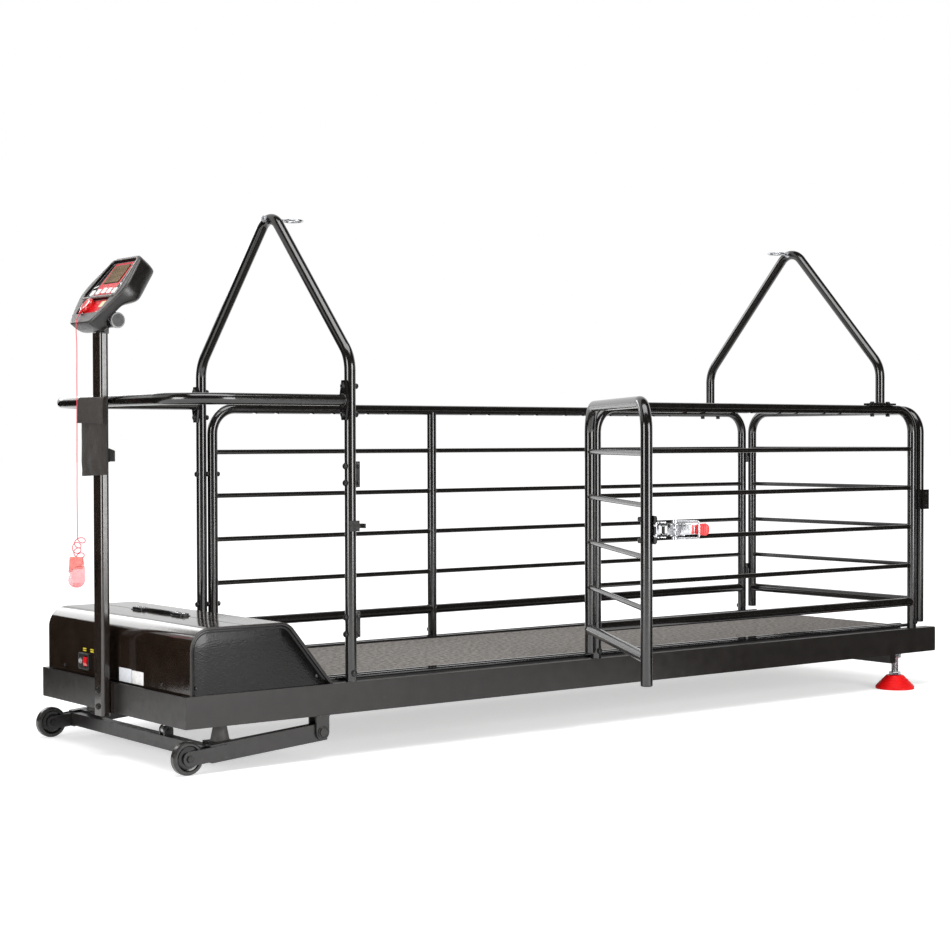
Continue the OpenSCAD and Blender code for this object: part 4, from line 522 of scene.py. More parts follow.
def bar_welds(s, place, x, way, post_r=15):
    """Beads where the thin bars and the bottom tube of a panel or gate meet the way side of its upright at x."""
    for z, bar_r, thick in [(z, 7, 1.7) for z in BAR_ZS] + [(LOW_Z, 14, 1.9)]:
        bead(s, [place @ Vector((x + way * (sqrt(post_r * post_r - u * u) + 0.3), u, z + w))
                 for u, w in circle(bar_r + 0.2, 26)], thick)


def plug(s, at, r=14.6):
    """Plastic plug in the open lower end of a tube."""
    s.lathe([(r - 2, -1.0), (r, -0.4), (r + 0.25, 0.4), (r, 2.2), (r * 0.86, 3.4), (r * 0.4, 3.9)],
            facing(at, DOWN), 1, 32)


# Motor hood
# Front face, foot of the slope, rear corner of the flat top, top, and the seam across it
HOOD_X0, HOOD_X1, HOOD_XC, HOOD_Z1, SEAM_X = -1404.0, -984.0, -1119.0, 363.0, -1250.0
SLOPE = (HOOD_X1 - HOOD_XC) / (HOOD_Z1 - RAIL_TOP)


def hood_outline(inset, n=18):
    def slope_x(z):
        return HOOD_X1 - (z - RAIL_TOP) * SLOPE - inset * sqrt(1 + SLOPE * SLOPE)
    x0, z0, z1 = HOOD_X0 + inset, RAIL_TOP, HOOD_Z1 - inset
    return rounded([(x0, z0), (x0, z1), (slope_x(z1), z1), (slope_x(z0), z0)], [0, 55 - inset, 50 - inset, 0], n)


def make_hood():
    # Sheet: outline with the seam groove and a stop for the belt gap at the foot of the slope
    line = hood_outline(0)
    path = []
    for i, (x, z) in enumerate(line):
        path.append((x, z))
        if i + 1 < len(line) and x < SEAM_X < line[i + 1][0] and abs(z - HOOD_Z1) < 0.01:
            path += [(SEAM_X + dx, z - dz) for dx, dz in ((-0.2, 0), (0.2, 1.0), (2.8, 1.0), (3.2, 0))]
    gap_z = RAIL_TOP + 13
    path.insert(len(path) - 1, (HOOD_X1 - (gap_z - RAIL_TOP) * SLOPE, gap_z))
    ys = [-402, -398, -385, -368, -250, -120, 0, 120, 250, 368, 385, 398, 402]
    gap_half, k = 368, len(ys)
    s = Shape()
    faces = []
    for i in range(len(path) - 1):
        for j in range(k - 1):
            if i == len(path) - 2 and abs(ys[j] + ys[j + 1]) < 2 * gap_half:
                continue
            faces.append([i * k + j, i * k + j + 1, (i + 1) * k + j + 1, (i + 1) * k + j])
    s.add([(x, y, z) for x, z in path for y in ys], faces)
    cover = s.made("hood_cover", [GLOSS], "frame", "hood_paint", ["motor_hood"], 30)
    # The thickness is applied here, so that its rim keeps sharp edges
    solid = cover.modifiers.new("thickness", "SOLIDIFY")
    solid.thickness, solid.offset = 3 * MM, -1
    made = bpy.data.meshes.new_from_object(cover.evaluated_get(bpy.context.evaluated_depsgraph_get()))
    cover.modifiers.clear()
    cover.data = made
    made.set_sharp_from_angle(angle=radians(30))
    # Rolled bead round both edges
    s = Shape()
    for way in (-1, 1):
        rings = []
        inner, outer = hood_outline(8, n=14), hood_outline(0, n=14)
        for (xo, zo), (xi, zi) in zip(outer, inner):
            mid, arm = Vector((xo + xi, 0, zo + zi)) / 2, Vector((xo - xi, 0, zo - zi)) / 2
            rings.append([Vector((mid.x, way * (398.4 + 3.7 * out), mid.z)) + arm * 1.05 * along
                          for along, out in circle(1, 12)])
        s.loft(rings)
    s.made("hood_beads", [BEAD], "frame", "hood_paint", (), 50)
    # End plates: a stepped border and a softly crowned, grained field
    s = Shape()
    for way in (-1, 1):
        levels = [(8.0, 398.5), (8.2, 399.6), (10.5, 400.0), (12.5, 398.6), (15, 396.8), (20, 397.7), (27, 398.8),
                  (36, 399.6), (47, 400.0)]
        rings = [[(x, way * y, z) for x, z in hood_outline(inset, n=14)] for inset, y in levels]
        s.loft(rings if way < 0 else [r[::-1] for r in rings], 0, caps=(False, True))
    s.made("hood_ends", [PEBBLE], "frame", "hood_paint", ["hood_side_plates"], 25)
    # Screws
    s = Shape()
    for y, z in ((299, 209), (-259, 211)):
        pan_screw(s, (HOOD_X0, y, z), FRONT, 4.5)
    for way in (-1, 1):
        for x, z in ((-1034.5, 218), (-1385, 214)):
            pan_screw(s, (x, way * 399.4, z), (0, way, 0), 5)
    s.made("hood_screws", [BOLT, PLASTIC], "frame", "steel")
    # Strap on the seam: chrome screws and a plate at each foot, and a rib between them
    s = Shape()
    for y in (-72, 150):
        for dy in (-18, 18):
            pan_screw(s, (SEAM_X, y + dy, 370), UP, 5.2)
        s.slab(lambda i: round_box(17 - i, 34 - i, 12 - i), HOOD_Z1, HOOD_Z1 + 1.4, 1, shift(SEAM_X, y, 0), 0.4)
    s.sweep([(SEAM_X, y, z) for y, z in ((-42, 368), (-10, 369.4), (40, 369.8), (90, 369.4), (120, 368))], 2.6, 1)
    s.made("strap_trim", [SCREW, PLASTIC], "frame", "steel")
    # Blank stickers and the switch marks
    s = Shape()
    on_front = shift(HOOD_X0, 0, 0) @ turn(-90, "Y")
    for y0, y1, z0, z1, mat in ((-94, -24, 198, 234, 0), (-159, -96, 198, 232, 1)):
        s.brick((z0, y0, 0), (z1, y1, 0.5), mat, on_front, 0.15, 1.5)
    for y in (178, 134):
        for z in (258, 263.5):
            s.brick((z, y - 10, 0), (z + 3.2, y + 10, 0.6), 2, on_front, 0.15, 0.8)
    s.made("hood_stickers", [PAPER, WHITE, YELLOW], "frame", "white_plastic")
    # Switch: raised bezel lip and reset button nut
    s = Shape()
    lip = rounded([(211, 138), (253, 138), (253, 198), (211, 198)], [5] * 4, 6)
    s.sweep([(-1412.2, y, z) for z, y in lip], 1.6, 0, 8, closed=True)
    s.lathe([(5.9, 0), (8.2, 0), (8.2, 1.6), (7.4, 2.4), (5.9, 2.4)], facing((-1412, 186, 232), FRONT), 1, 24)
    s.made("switch_trim", [PLASTIC, ZINC], "frame", "black_plastic")


make_hood()


# Console
def face_outline(i, n=10):
    return rounded([(-52 + i, -60 + i), (-52 + i, 60 - i), (-22, 82 - i), (60, 128 - i), (176 - i, 78 - i),
                    (176 - i, -78 + i), (60, -128 + i), (-22, -82 + i)], [26, 26, 50, 70, 34, 34, 70, 50], n)


def window(x0, x1, half0, half1, r, grow=0.0):
    return rounded([(x0 - grow, -half0 - grow), (x0 - grow, half0 + grow), (x1 + grow, half1 + grow),
                    (x1 + grow, -half1 - grow)], [r + grow * 0.6] * 4, 6)


def make_console():
    # Case: lofted along its length, with a deep lower lip, a hollow for the hinge and a swell behind the display
    side = [p for p in face_outline(0, 16) if p[1] > 0]

    def half_at(x):
        return max([a[1] + (b[1] - a[1]) * (x - a[0]) / (b[0] - a[0]) for a, b in zip(side, side[1:])
                    if a[0] <= x <= b[0] and b[0] > a[0]] or [34])

    def back_z(x):
        return 3 + 17 * smooth_step((x + 34) / 11) - 27 * smooth_step((x - 21) / 52)
    rings = []
    for i in range(61):
        x = -51.9 + 227.8 * (0.5 - 0.5 * cos(pi * i / 60))
        low, high = (x + 52) / 17, (176 - x) / 9
        end = sqrt(1 - (1 - min(low, 1.0)) ** 2) * sqrt(1 - (1 - min(high, 1.0)) ** 2)
        w, deep = half_at(x) - 0.2, (50 - back_z(x)) * (0.35 + 0.65 * end)
        ring = []
        for j in range(41):
            c, d = cos(pi * j / 40), sin(pi * j / 40)
            ring.append((x, w * copysign(abs(c) ** 0.36, c), 49.7 - deep * d ** 0.42))
        rings.append(ring)
    s = Shape(ON_CONSOLE)
    s.loft(rings)
    for way in (-1, 1):
        y0, y1 = sorted((way * 34.4, way * 61.6))
        s.lathe([(16.8, y0), (18, y0 + 1.2), (18, y1 - 1.2), (16.8, y1)], ON_CONSOLE @ turn(-90, "X"), 0, 40)
        s.brick((-16.5, y0, 2), (16.5, y1, 24), radius=3.0)
    # Vent slots and case screws on the back
    for i in range(5):
        s.brick((92 + i * 12, -34, -8.0), (97 + i * 12, 34, -6.4), 1, edge=0.5, radius=2.4)
    for x, y in ((84, 62), (84, -62), (150, 44), (150, -44)):
        pan_screw(s, ON_CONSOLE @ Vector((x, y, -6.6)), ON_CONSOLE.to_3x3() @ Vector((0, 0, -1)), 3.4, 1, 1)
    s.made("console_case", [SHELL, PLASTIC], "console", "grey_plastic", ["console_shell"], 40)
    # Face plate: a rounded edge, two windows with sloped walls, pale borders and the band between them
    upper = dict(x0=40, x1=164, half0=96, half1=67, r=12)
    lower = dict(x0=-18, x1=31, half0=61, half1=75, r=8)
    s = Shape(ON_CONSOLE)
    rim = [(0.6, 50.0), (0.2, 51.0), (0.3, 53.0), (1.2, 54.8), (3.0, 56.0), (5.4, 56.3)]
    s.loft([at_z(face_outline(i), z)[::-1] for i, z in rim], caps=(True, False))
    s.sheet([face_outline(5.4)[::-1], window(**upper, grow=1.2), window(**lower, grow=1.2)], 56.3)
    wall = [(1.2, 56.3), (0.5, 55.7), (0, 54.6), (0, 50.1)]
    for w in (upper, lower):
        s.loft([at_z(window(**w, grow=g), z) for g, z in wall], 2, caps=(False, False))
    for w, g, z, r, sides in ((upper, 3.4, 56.4, 1.9, 10), (upper, -4.5, 50.9, 0.7, 6), (lower, -2.4, 50.8, 0.5, 6)):
        s.sweep(at_z(window(**w, grow=g), z), r, 1, sides, closed=True)
    s.sweep([(35.5, -84 + i * 8.4, 56.4 + 0.9 * sin(pi * i / 20)) for i in range(21)], 3.4, 1, 10)
    s.made("console_face", [RIM, SILVER, FACE_BLACK], "console", "grey_plastic", ["console_bezel"], 40)
    # Coloured films, a hair above the window floors
    s = Shape(ON_CONSOLE)

    def film(points, radii, z, mat, thick):
        s.slab(rounded(points, radii, 5), z, z + thick, mat)
    for w in (upper, lower):
        s.slab(window(**w), 50.05, 50.2)
    panel = [(44, -48), (44, 48), (80, 56), (159, 52), (161, 48), (161, -48), (159, -52), (80, -56)]
    radii = [4, 4, 20, 3, 3, 3, 3, 20]
    film(panel, radii, 50.2, 2, 0.15)
    film([(45 if x == 44 else x - (1.4 if x > 150 else 0), y * 0.975) for x, y in panel], radii, 50.3, 1, 0.15)
    film([(87, -45), (87, 45), (152, 45), (152, -45)], [3] * 4, 50.42, 0, 0.15)
    for way in (-1, 1):
        film([(74, way * 82), (79, way * 83), (86, way * 62), (81, way * 61)][::way], [1.5] * 4, 50.45, 3, 0.2)
        for i in (0, 1, 2):
            x, y = 61 - 2 * i, way * i * 31
            film([(x - 12, y - 13), (x - 12, y + 13), (x + 12, y + 13), (x + 12, y - 13)], [3] * 4,
                 50.44 + 0.01 * i + 0.005 * way, 0 if i > 1 else 1, 0.1)
    film([(46, -90), (46, -76), (68, -76), (62, -90)], [2, 2, 8, 4], 50.46, 3, 0.2)
    film([(-15, -58), (-15, 58), (28, 71), (28, -71)], [6] * 4, 50.22, 1, 0.15)
    film([(4, -58), (4, -30), (24, -32), (24, -64)], [2] * 4, 50.4, 4, 0.2)
    for way in (-1, 1):
        film([(-16, way * 34), (-16, way * 55), (-9, way * 58), (-11, way * 36)][::-way], [1.5] * 4, 50.42, 3, 0.2)
    s.made("console_films", [FACE_BLACK, FACE_RED, CAP, WHITE, CREAM], "console", "red_plastic")
    # Faint idle segments on the display, as bare bars
    s = Shape(ON_CONSOLE)

    def segment(x0, y0, x1, y1):
        s.brick((x0, y0, 52.0), (x1, y1, 52.12), edge=0.03, radius=0.5)
    high = 16
    for x in (100, 124):
        for y in range(-30, 31, 15):
            for up in (0, high, high / 2):
                segment(x + up, y - 4.4, x + up + 1.2, y + 4.4)
            for way in (-1, 1):
                segment(x + 1, y + way * 5 - 0.6, x + high, y + way * 5 + 0.6)
    s.made("display_segments", [SEGMENT], "console", "lens_plastic")
    # Safety key: a dished, rounded knob with a lug for its cord
    place = ON_CONSOLE @ shift(8, 27, 50.3)
    s = Shape(place)
    s.lathe([(20.5, 0.05), (22, 1.6), (22, 8.5), (21.2, 10.8), (19, 12.5), (16.5, 13), (13.5, 12.5), (9, 11.6),
             (4, 11.2)], place, 0, 56)
    s.brick((-30, -4, 6.5), (-18, 4, 13), edge=1.4, radius=2.4)
    s.sweep([(-30.2, y, 9.75 + z) for y, z in circle(2.1, 16)], 0.6, 0, 6, closed=True)
    s.made("safety_knob", [RED_CLEAR], "safety_key", "red_plastic", ["safety_key"], 40)
    # Hinge caps with a raised border
    s = Shape()
    for way in (-1, 1):
        s.lathe([(19.4, 62.2), (20.4, 63), (20.4, 69.6), (19.6, 70.9), (17.4, 71.2), (16.4, 69.2), (6, 69.6)],
                ON_CONSOLE @ turn(-90 * way, "X"), 0, 48)
    s.made("hinge_caps", [CAP], "frame", "grey_plastic")


make_console()


# Cloth pouch on the post
POUCH_BACK, POUCH_Z0, POUCH_H = -1456.9, 738.0, 198.0


def pouch_half(v):
    """Half-width: a little waist, and corners that flare at the mouth and the foot."""
    return 51.4 - 2.4 * sin(pi * v) ** 0.7 + 2.2 * (1 - v) ** 8


def pouch_z(u, v):
    """Height at u (-1 to 1 across) and v (0 at the foot, 1 at the mouth); the foot sags to one side."""
    return POUCH_Z0 + v * POUCH_H + 2.4 * (1 - v) ** 3 * (u - 0.4)


def pouch_front(u, v):
    """How far the front stands off the back."""
    puff = 13.4 * (1 - abs(u) ** 9) ** 0.5 * (0.35 + 0.65 * sin(pi * min(0.5, v * 2.2 + 0.05)))
    fold = 1.7 * sin(7 * u + 9 * v) * (1 - v) ** 0.5 * (1 - u * u) + 1.0 * sin(15 * v - 5 * u) * (1 - u * u)
    lump = 3.2 * noise.noise(Vector((u * 1.6, v * 3.1, 3.7)))
    return max(1.6, puff + (fold + lump) * (1 - u ** 4) * 0.6)


# The pouch hangs a little turned on the post
TWIST = shift(-1457.5, -31, 0) @ turn(11, "Z") @ shift(1457.5, 22, 0)


def twisted(s):
    s.verts = [TWIST @ v for v in s.verts]
    return s


def make_pouch():
    s = Shape()
    rings = []
    for i in range(37):
        v = i / 36
        half = pouch_half(v)
        front = [-1 + j / 12 for j in range(25)]
        back = [1 - 2 * (j + 0.5) / 12 for j in range(12)]
        rings.append([(POUCH_BACK - pouch_front(u, v), -u * half, pouch_z(u, v)) for u in front]
                     + [(POUCH_BACK - 0.2, -u * half * 0.985, pouch_z(u, v)) for u in back])
    s.loft(rings)
    # Bound edge down both sides and along the foot
    edge = [(-1, 1 - k / 24) for k in range(25)] + [(-1 + k / 8, 0) for k in range(1, 16)] \
        + [(1, k / 24) for k in range(25)]
    s.sweep([(POUCH_BACK - 1.6, -u * pouch_half(v), pouch_z(u, v)) for u, v in edge], 1.7, 0, 8)
    twisted(s).made("pouch_body", [CLOTH], "frame", "pouch_fabric", ["remote_pouch"], 70)
    # Flap: over the mouth and down the front, with a wider, slightly lifted foot
    s = Shape()
    path = [(POUCH_BACK + x, z) for x, z in ((0.4, 922), (0.3, 932), (-2, 937.5), (-7, 939), (-12, 936.5))]
    path += [(POUCH_BACK - 14.2 - 1.6 * sin(k / 9 * 2.6) - 0.5 * k / 9, 931 - k * 6.7) for k in range(10)]
    outer, inner = [], []
    for k, (x, z) in enumerate(path):
        q = k / (len(path) - 1)
        half = 51.2 + 4.2 * q ** 2
        outer.append([])
        inner.append([])
        for j in range(21):
            u = -1 + j / 10
            curl = -1.8 * smooth_step((abs(u) - 0.6) / 0.4) * q
            curl += 0.8 * noise.noise(Vector((u * 2.4, q * 3.1, 8.2))) * q
            hang = -1.5 * q * u
            outer[-1].append((x + curl - 1.2, -u * half, z + hang))
            inner[-1].append((x + curl + 1.0, -u * half, z + hang + 0.1))
    s.loft([o + i[::-1] for o, i in zip(outer, inner)])
    flap = twisted(s).made("pouch_flap", [CLOTH], "frame", "pouch_fabric", (), 60)
    # Stitches round the flap and the body
    s = Shape()

    def stitches(points, every=6.0, long=3.6):
        pts = [Vector(p) for p in points]
        walked, due = 0.0, 0.0
        for a, b in zip(pts, pts[1:]):
            step = b - a
            while due <= walked + step.length:
                p = a + step * ((due - walked) / step.length)
                d = step.normalized() * long / 2
                s.sweep([p - d, p - d * 0.4, p + d * 0.4, p + d], 0.42, 0, 5)
                due += every
            walked += step.length
    rim = [outer[k][1] for k in range(4, 15)] + [outer[14][j] for j in range(2, 19)] + \
          [outer[k][19] for k in range(14, 3, -1)]
    stitches([(x - 0.2, y, z + (4 if k in range(11, 28) else 0)) for k, (x, y, z) in enumerate(rim)])
    for u in (-0.88, 0.88):
        heights = [k / POUCH_H for k in range(8, 124, 4)]
        stitches([(POUCH_BACK - pouch_front(u, v) - 0.1, -u * pouch_half(v), POUCH_Z0 + v * POUCH_H) for v in heights])
    low = 8
    stitches([(POUCH_BACK - pouch_front(u, low / POUCH_H) - 0.1, -u * 50.8, POUCH_Z0 + low + 1.6 * (u - 0.4))
              for u in (k / 10 for k in range(-9, 10))])
    twisted(s).made("pouch_thread", [THREAD], "frame", "pouch_fabric")
    # Strap round the post, with its free end standing off behind
    s = Shape()

    def band(grow):
        return [(CONSOLE_POST_X + x, y) for x, y in round_box(12.5 + grow, 25 + grow, 8 + grow)]
    section = ((0.5, 771), (2.6, 770), (3.1, 771), (3.1, 805), (2.6, 806), (0.5, 805))
    rings = [at_z(band(g), z) for g, z in section]
    s.loft(rings + [rings[0]], caps=(False, False))
    tail = [(-1431, -28.4), (-1424.5, -27.6), (-1418, -25.5), (-1412, -22)]
    rings = []
    for k, (x, y) in enumerate(tail):
        z0, z1 = 771.5, 805.5 - 2 * k
        rings.append([(x, y - 1.1, z0), (x, y - 1.1, z1), (x, y + 1.1, z1), (x, y + 1.1, z0)])
    s.loft(rings)
    s.made("pouch_strap", [STRAP], "frame", "pouch_fabric", (), 50)


make_pouch()


# Toggle clamp: plated lever with a two-part vinyl grip, hub discs and rivets
def make_toggle():
    lever = CLAMP @ shift(0, -22, 0)
    s = Shape(lever)

    def plate(i):
        return rounded([(-8 + i, 7), (-7 + i, -70), (7 - i, -70), (8 - i, 7)], [6, 3, 3, 6], 6)
    for way in (-1, 1):
        z = way * 10.7
        s.slab(plate, z - 1.9, z + 1.9, edge=0.6)
        outward = turn(0 if way > 0 else 180, "X")
        s.lathe([(14, 0), (15.5, 0.6), (15.5, 1.8), (14.2, 2.6), (9, 2.6), (8, 1.6), (5, 1.6), (4.4, 3.4), (2, 4)],
                lever @ shift(-4, -26, way * 12.7) @ outward, 0, 36)
        s.lathe([(6.2, 0), (6.2, 1.4), (5, 2.6), (2, 3.2)], lever @ shift(0, -50, way * 12.7) @ outward, 0, 24)
    s.brick((-12, -34, -12.6), (0, -18, 12.6), radius=4)
    s.brick((-9.4, -70, -11.8), (-7.2, -8, 11.8), edge=0.5, radius=1)
    s.lathe([(16, 0), (16, 1.8), (14.6, 3.2), (8, 3.2), (7, 2.2), (4.6, 2.2), (4, 4), (1.6, 4.4)],
            lever @ shift(-12.4, -26, 0) @ turn(-90, "Y"), 0, 40)
    s.lathe([(3.9, -24.8), (4, -24), (4, 24), (3.9, 24.8)], lever @ shift(-12, -26, 0), 0, 24)
    s.lathe([(3.9, -16), (4, -15.6), (4, 15.6), (3.9, 16)], lever @ shift(0, -50, 0), 0, 20)
    s.brick((-6.5, -80, -8), (6.5, -62, 8), radius=3)
    s.made("clamp_lever", [CHROME], "toggle_lever", "bright_metal", ["toggle_lever"], 35)
    s = Shape(lever)

    def grip(sections):
        s.loft([[(x, y, z) for x, z in round_box(w, h, min(w, h) * 0.62)][::-1] for y, w, h in sections])
    grip([(-66, 5.6, 9), (-67, 7, 10.6), (-76, 7.2, 11), (-77.5, 6, 9.6)])
    grip([(-80, 5.6, 9.4), (-81.2, 7, 11), (-90, 7.6, 13.2), (-101, 8, 14.8), (-108, 7.6, 14.2), (-113.5, 6, 11.4),
          (-116, 3.6, 7)])
    for i in range(5):
        y = -86 - i * 4.6
        grip([(y, 7.6, 12.6 + i * 0.55), (y - 1, 8.1, 13.1 + i * 0.5), (y - 2.4, 8.1, 13.2 + i * 0.5),
              (y - 3.4, 7.7, 13 + i * 0.5)])
    s.made("clamp_grip", [GRIP], "toggle_lever", "red_plastic", (), 45)
    # Formed saddle on the black base, with flared wings
    s = Shape(CLAMP)
    wing = [(-15, 0.2), (-15, -7), (-9, -14), (-8, -30), (8, -30), (9, -14), (15, -7), (15, 0.2)]
    for way in (-1, 1):
        s.slab(rounded(wing, [1, 4, 6, 6, 6, 6, 4, 1], 5), way * 18.4 - 1.3, way * 18.4 + 1.3)
    s.brick((-16, -2.2, -19.6), (16, 0.3, 19.6), edge=0.6, radius=1.2)
    s.brick((-9, -12.5, -12.8), (9, 0, 12.8))
    for z in (-26.6, 26.6):
        s.lathe([(6.6, 0), (6.6, 1.4), (5, 3), (2, 3.6)], CLAMP @ shift(0, -1.2, z) @ turn(90, "X"), 0, 24)
        s.lathe([(4.4, 0), (4.4, 1.2), (2, 1.8)], CLAMP @ shift(-18, 2.5, z * 0.5) @ turn(-90, "Y"), 0, 20)
    s.made("clamp_saddle", [CHROME], "side_gate", "bright_metal", (), 35)


make_toggle()


# Levelling feet: cut thread, chamfered nuts and moulded rings on the rubber
def make_feet():
    pitch, sides = 2.6, 24
    s = Shape()
    for y in (-RAIL_Y, RAIL_Y):
        at = shift(FOOT_X, y, 0)
        rings = []
        for i in range(110):
            z = 20 + i * 0.76
            ring = []
            for j, (c, d) in enumerate(circle(1, sides)):
                r = 11.35 + 0.6 * (2 * abs((z / pitch - j / sides) % 1 - 0.5) * 2 - 1)
                ring.append((r * c, r * d, z))
            rings.append(ring)
        s.loft(rings, 0, at)
        s.lathe([(11.9, 100), (11.9, 133)], at, 0, sides)
        hex_nut(s, (FOOT_X, y, 101), UP, 40, 14)
        hex_nut(s, (FOOT_X, y, 44.4), UP, 38, 11)
        washer(s, (FOOT_X, y, 113.6), UP, 21)
    s.made("foot_threads", [CHROME], "frame", "bright_metal", ["foot_studs"], 32)
    for name, y in (("foot_near", -RAIL_Y), ("foot_far", RAIL_Y)):
        s = Shape()
        for r, z in ((57.5, 13.0), (50, 21.3), (42.5, 29.6)):
            s.sweep([(FOOT_X + a, y + b, z) for a, b in circle(r, 64)], 1.1, 0, 6, closed=True)
        s.made(name + "_rings", [RED_RUBBER], name, "red_rubber")


make_feet()


# Frame dressing: welds, bolt heads, washers, plugs and caps
def make_frame_trim():
    s = Shape()
    for side, posts in ((1, FAR_POSTS), (-1, NEAR_POSTS)):
        for i, x in enumerate(posts):
            for way in (-1, 1):
                if i + way in range(len(posts)):
                    bar_welds(s, shift(0, side * POST_Y, 0), x, way, 14.5 if x == FAR_POSTS[1] else 15)
    for side in (-1, 1):
        bead(s, [(FLANGE_X - 0.6, side * POST_Y + a, FLANGE_Z + b) for a, b in circle(15.3, 32)])
        bead(s, [(REAR_ARCH_X + a, side * POST_Y + b, 942) for a, b in circle(15.3, 32)])
        # Bracket beads along the underside of the rails
        for y in (HALF_W, 363.5):
            s.sweep([(-1039 + j * 1.4, side * y, 114.6) for j in range(29)], 2.0, 0, 6, ripple=0.2)
    s.made("frame_welds", [WELD], "frame", "frame_paint", (), 60)
    # Gates: welds, a plug in the foot of each upright, and the screws of the rear gate's latch
    for gate, place, x0, x1, screws in (("side_gate", ON_GATE, -768, -30, ()),
                                        ("rear_gate", ON_REAR_GATE, -386, 386, (603, 644))):
        s = Shape()
        for x, way in ((x0, 1), (x1, -1)):
            bar_welds(s, place, x, way)
            plug(s, place @ Vector((x, 0, GATE_FOOT_Z)))
        for z in screws:
            pan_screw(s, (REAR_GATE_X, -415.2, z), (0, -1, 0), 4.2, 1, 1)
        s.made(gate + "_trim", [WELD, PLASTIC], gate, "frame_paint", (), 60)
    # Bolts: domed heads and washers over the plain heads, and nuts
    s = Shape()
    for side, posts in ((-1, NEAR_POSTS), (1, FAR_POSTS)):
        y, out = side * POST_Y, (0, side, 0)
        for up in (-37, 37):
            dome_bolt(s, (FLANGE_X, y, FLANGE_Z + up), FRONT)
            hex_nut(s, (-907.6, y, FLANGE_Z + up), REAR)
        for dx in (-38, 38):
            dome_bolt(s, (REAR_ARCH_X + dx, y, 941.3), UP)
            hex_nut(s, (REAR_ARCH_X + dx, y, 904.8), DOWN)
        for x in (FRONT_ARCH_X,) + posts:
            dome_bolt(s, (x, side * HALF_W, POST_BOLT_Z), out)
        s.lathe([(8, 0), (15.4, 0), (16, 0.6), (16, 1.6), (15.4, 2.2), (8, 2.2)],
                facing((-1020, side * HALF_W, 72), out), 0, 28)
    for z in (132, 174):
        dome_bolt(s, (-1453.5, 0, z), FRONT)
    for y, nut_x, zs in ((-POST_Y, -903.4, (714, 758, 319, 363)), (POST_Y, -870.8, (726.5, 343.5))):
        for z in zs:
            dome_bolt(s, (-938, y, z), FRONT)
            hex_nut(s, (nut_x, y, z), REAR, h=6.6)
    s.made("frame_bolt_heads", [BOLT, PLASTIC], "frame", "steel", (), 32)
    # Rail end caps
    s = Shape()
    for y in (-RAIL_Y, RAIL_Y):
        s.brick((115.6, y - 19.4, 0), (194.4, y + 19.4, 2.6), 0,
                shift(RAIL_END, 0, 0) @ turn(90, "Y") @ turn(180, "Z"), 1.0, 3)
    s.made("rail_caps", [PLASTIC], "frame", "black_plastic", (), 40)
    # Hinge pin ends
    s = Shape()
    for z in (762, 353):
        for x, y in ((-104, -POST_Y), (1341, POST_Y)):
            s.lathe([(7.1, -18.2), (7.5, -18.6), (7.5, -19.6), (6.4, -20.4), (2, -20.8)], shift(x, y, z), 0, 24)
    s.made("hinge_feet", [BOLT], "frame", "steel")
    # Dished wheel hubs
    for name, y in (("wheel_near", -388.5), ("wheel_far", 388.5)):
        s = Shape()
        for face in (-1, 1):
            s.lathe([(9.2, 0), (15.4, 0.2), (16.2, 1.0), (28.5, -0.6), (30.2, 0.3), (31, -0.4)][::-1],
                    facing((-1406, y + face * 10.2, 42), (0, face, 0)), 0, 40, caps=(False, False))
        s.made(name + "_hub", [BEAD], name, "grey_plastic", (), 40)


make_frame_trim()


# Stage and light
# Glow of the floor below the part and far from it, with the distances between which it changes, and the
# world's diffuse light
FLOOR_GLOW, GLOW_NEAR, GLOW_FAR, WORLD_FILL = (0.52, 0.85), 1.6, 4.5, 0.4


def in_view(nodes, link):
    """1 for rays from the camera, gloss or glass, which see the white background, and 0 for diffuse light."""
    path = nodes.new("ShaderNodeLightPath")
    answer = path.outputs["Is Camera Ray"]
    for kind in ("Is Glossy Ray", "Is Transmission Ray"):
        either = nodes.new("ShaderNodeMath")
        either.operation = "MAXIMUM"
        link(answer, either.inputs[0])
        link(path.outputs[kind], either.inputs[1])
        answer = either.outputs[0]
    return answer


def card(name, corners, mat):
    """Flat piece of the stage."""
    mesh = bpy.data.meshes.new(name)
    mesh.from_pydata(corners, [], [list(range(len(corners)))])
    mesh.materials.append(mat)
    ob = linked(name, mesh)
    return ob


def level(x0, y0, x1, y1, z):
    return [(x0, y0, z), (x1, y0, z), (x1, y1, z), (x0, y1, z)]


def make_floor():
    m = bpy.data.materials.new("floor_white")
    nodes, link = tree(m)
    nodes.clear()
    out, both, matte, glow, coords, away, far, share = (nodes.new("ShaderNode" + kind) for kind in (
        "OutputMaterial", "AddShader", "BsdfDiffuse", "Emission", "TexCoord", "VectorMath", "MapRange", "Math"))
    put(matte, Color=(0.8, 0.8, 0.8, 1))
    away.operation, far.interpolation_type, share.operation = "LENGTH", "SMOOTHSTEP", "MULTIPLY"
    link(coords.outputs["Object"], away.inputs[0])
    put(far, From_Min=GLOW_NEAR, From_Max=GLOW_FAR, To_Min=FLOOR_GLOW[0], To_Max=FLOOR_GLOW[1])
    link(away.outputs["Value"], far.inputs["Value"])
    link(far.outputs["Result"], share.inputs[0])
    link(in_view(nodes, link), share.inputs[1])
    link(share.outputs[0], glow.inputs["Strength"])
    link(matte.outputs[0], both.inputs[0])
    link(glow.outputs[0], both.inputs[1])
    link(both.outputs[0], out.inputs["Surface"])
    card("floor", level(-60, -60, 60, 60, -0.0006), m)


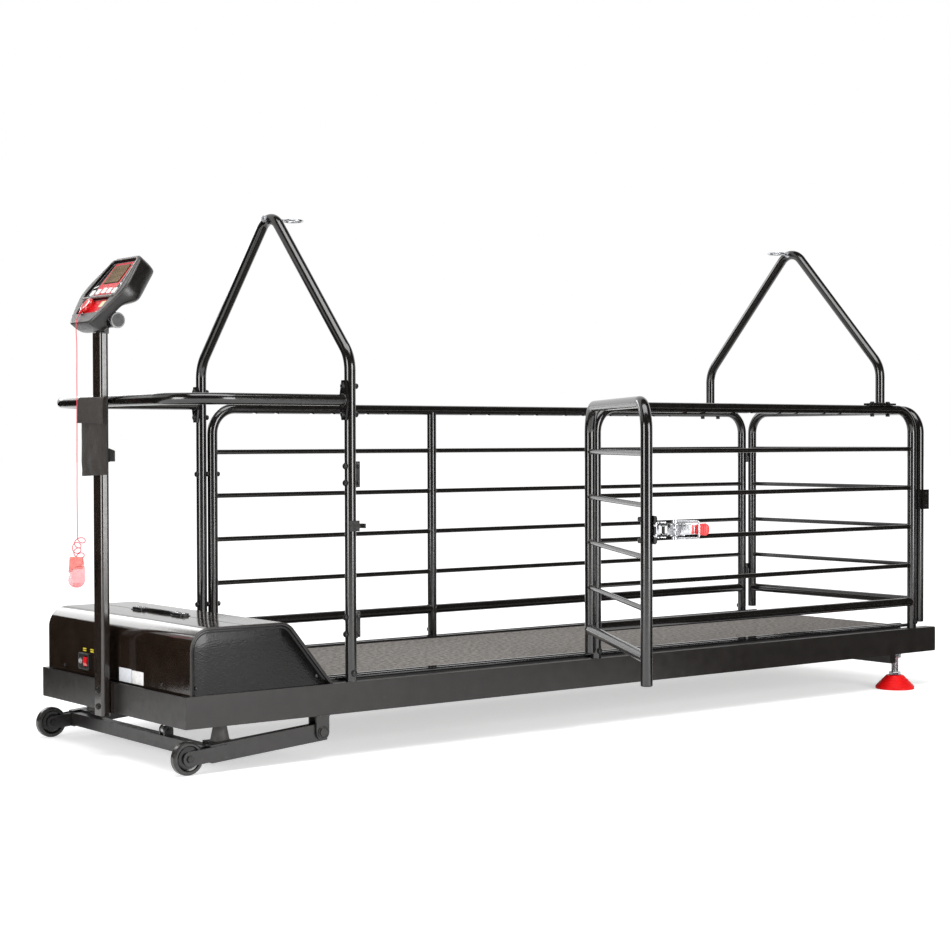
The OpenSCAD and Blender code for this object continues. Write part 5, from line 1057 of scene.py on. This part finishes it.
def make_world():
    scene.world = bpy.data.worlds.new("studio")
    nodes, link = tree(scene.world)
    spread = nodes.new("ShaderNodeMapRange")
    put(spread, To_Min=WORLD_FILL, To_Max=1.0)
    put(nodes["Background"], Color=(1, 1, 1, 1))
    link(in_view(nodes, link), spread.inputs["Value"])
    link(spread.outputs["Result"], nodes["Background"].inputs["Strength"])


def lamp(name, at, aim, size, power):
    data = bpy.data.lights.new(name, "AREA")
    data.shape, data.size, data.size_y, data.energy = "RECTANGLE", size[0], size[1], power
    ob = linked(name, data)
    ob.location = at
    ob.rotation_euler = (Vector(aim) - Vector(at)).to_track_quat("-Z", "Y").to_euler()


def flag(name, corners):
    """Black card outside the picture, which only gloss shows, so that it has something dark between the lamps."""
    ob = card(name, corners, FLAG)
    ob.visible_camera = ob.visible_diffuse = ob.visible_transmission = ob.visible_shadow = False


def upright(x0, y0, x1, y1, top):
    return [(x0, y0, 0.01), (x1, y1, 0.01), (x1, y1, top), (x0, y0, top)]


make_floor()
make_world()
FLAG = material("flag_cloth", (14, 14, 14), (20, 20, 20), 3, (0.85, 0.95), level=0.0)
flag("flag_left", [(-9, 3, 0.01), (-0.9, 3, 0.01), (-0.9, 3, 0.7), (-2.2, 3, 1.5), (-9, 3, 4)])
flag("flag_far_left", upright(-9.0, 3.0, -9.0, -4.0, 6.0))
flag("flag_back", upright(-9.0, -4.0, -0.6, -9.0, 6.0))
flag("flag_front", upright(-0.6, -9.0, 5.0, -8.6, 6.0))
flag("flag_right", upright(5.0, -8.6, 10.0, -2.0, 6.0))
flag("flag_top", level(-9.0, -9.0, 10.0, 2.4, 6.0))
flag("flag_floor_left", level(-7.0, 0.85, -1.55, 3.0, 0.03))
flag("flag_floor_right", level(0.55, -4.0, 7.0, -0.47, 0.03))
lamp("top_box", (-0.9, -1.4, 4.6), (0, 0, 0.4), (4.2, 2.4), 170)
lamp("left_box", (-6.4, -1.0, 1.5), (-0.6, -0.2, 0.8), (2.0, 2.8), 175)
lamp("right_box", (0.5, -5.9, 1.5), (-0.6, -0.2, 0.7), (2.2, 2.8), 200)
lamp("back_box", (-1.0, 4.6, 2.5), (-1.4, 0, 0.35), (3.2, 1.0), 40)
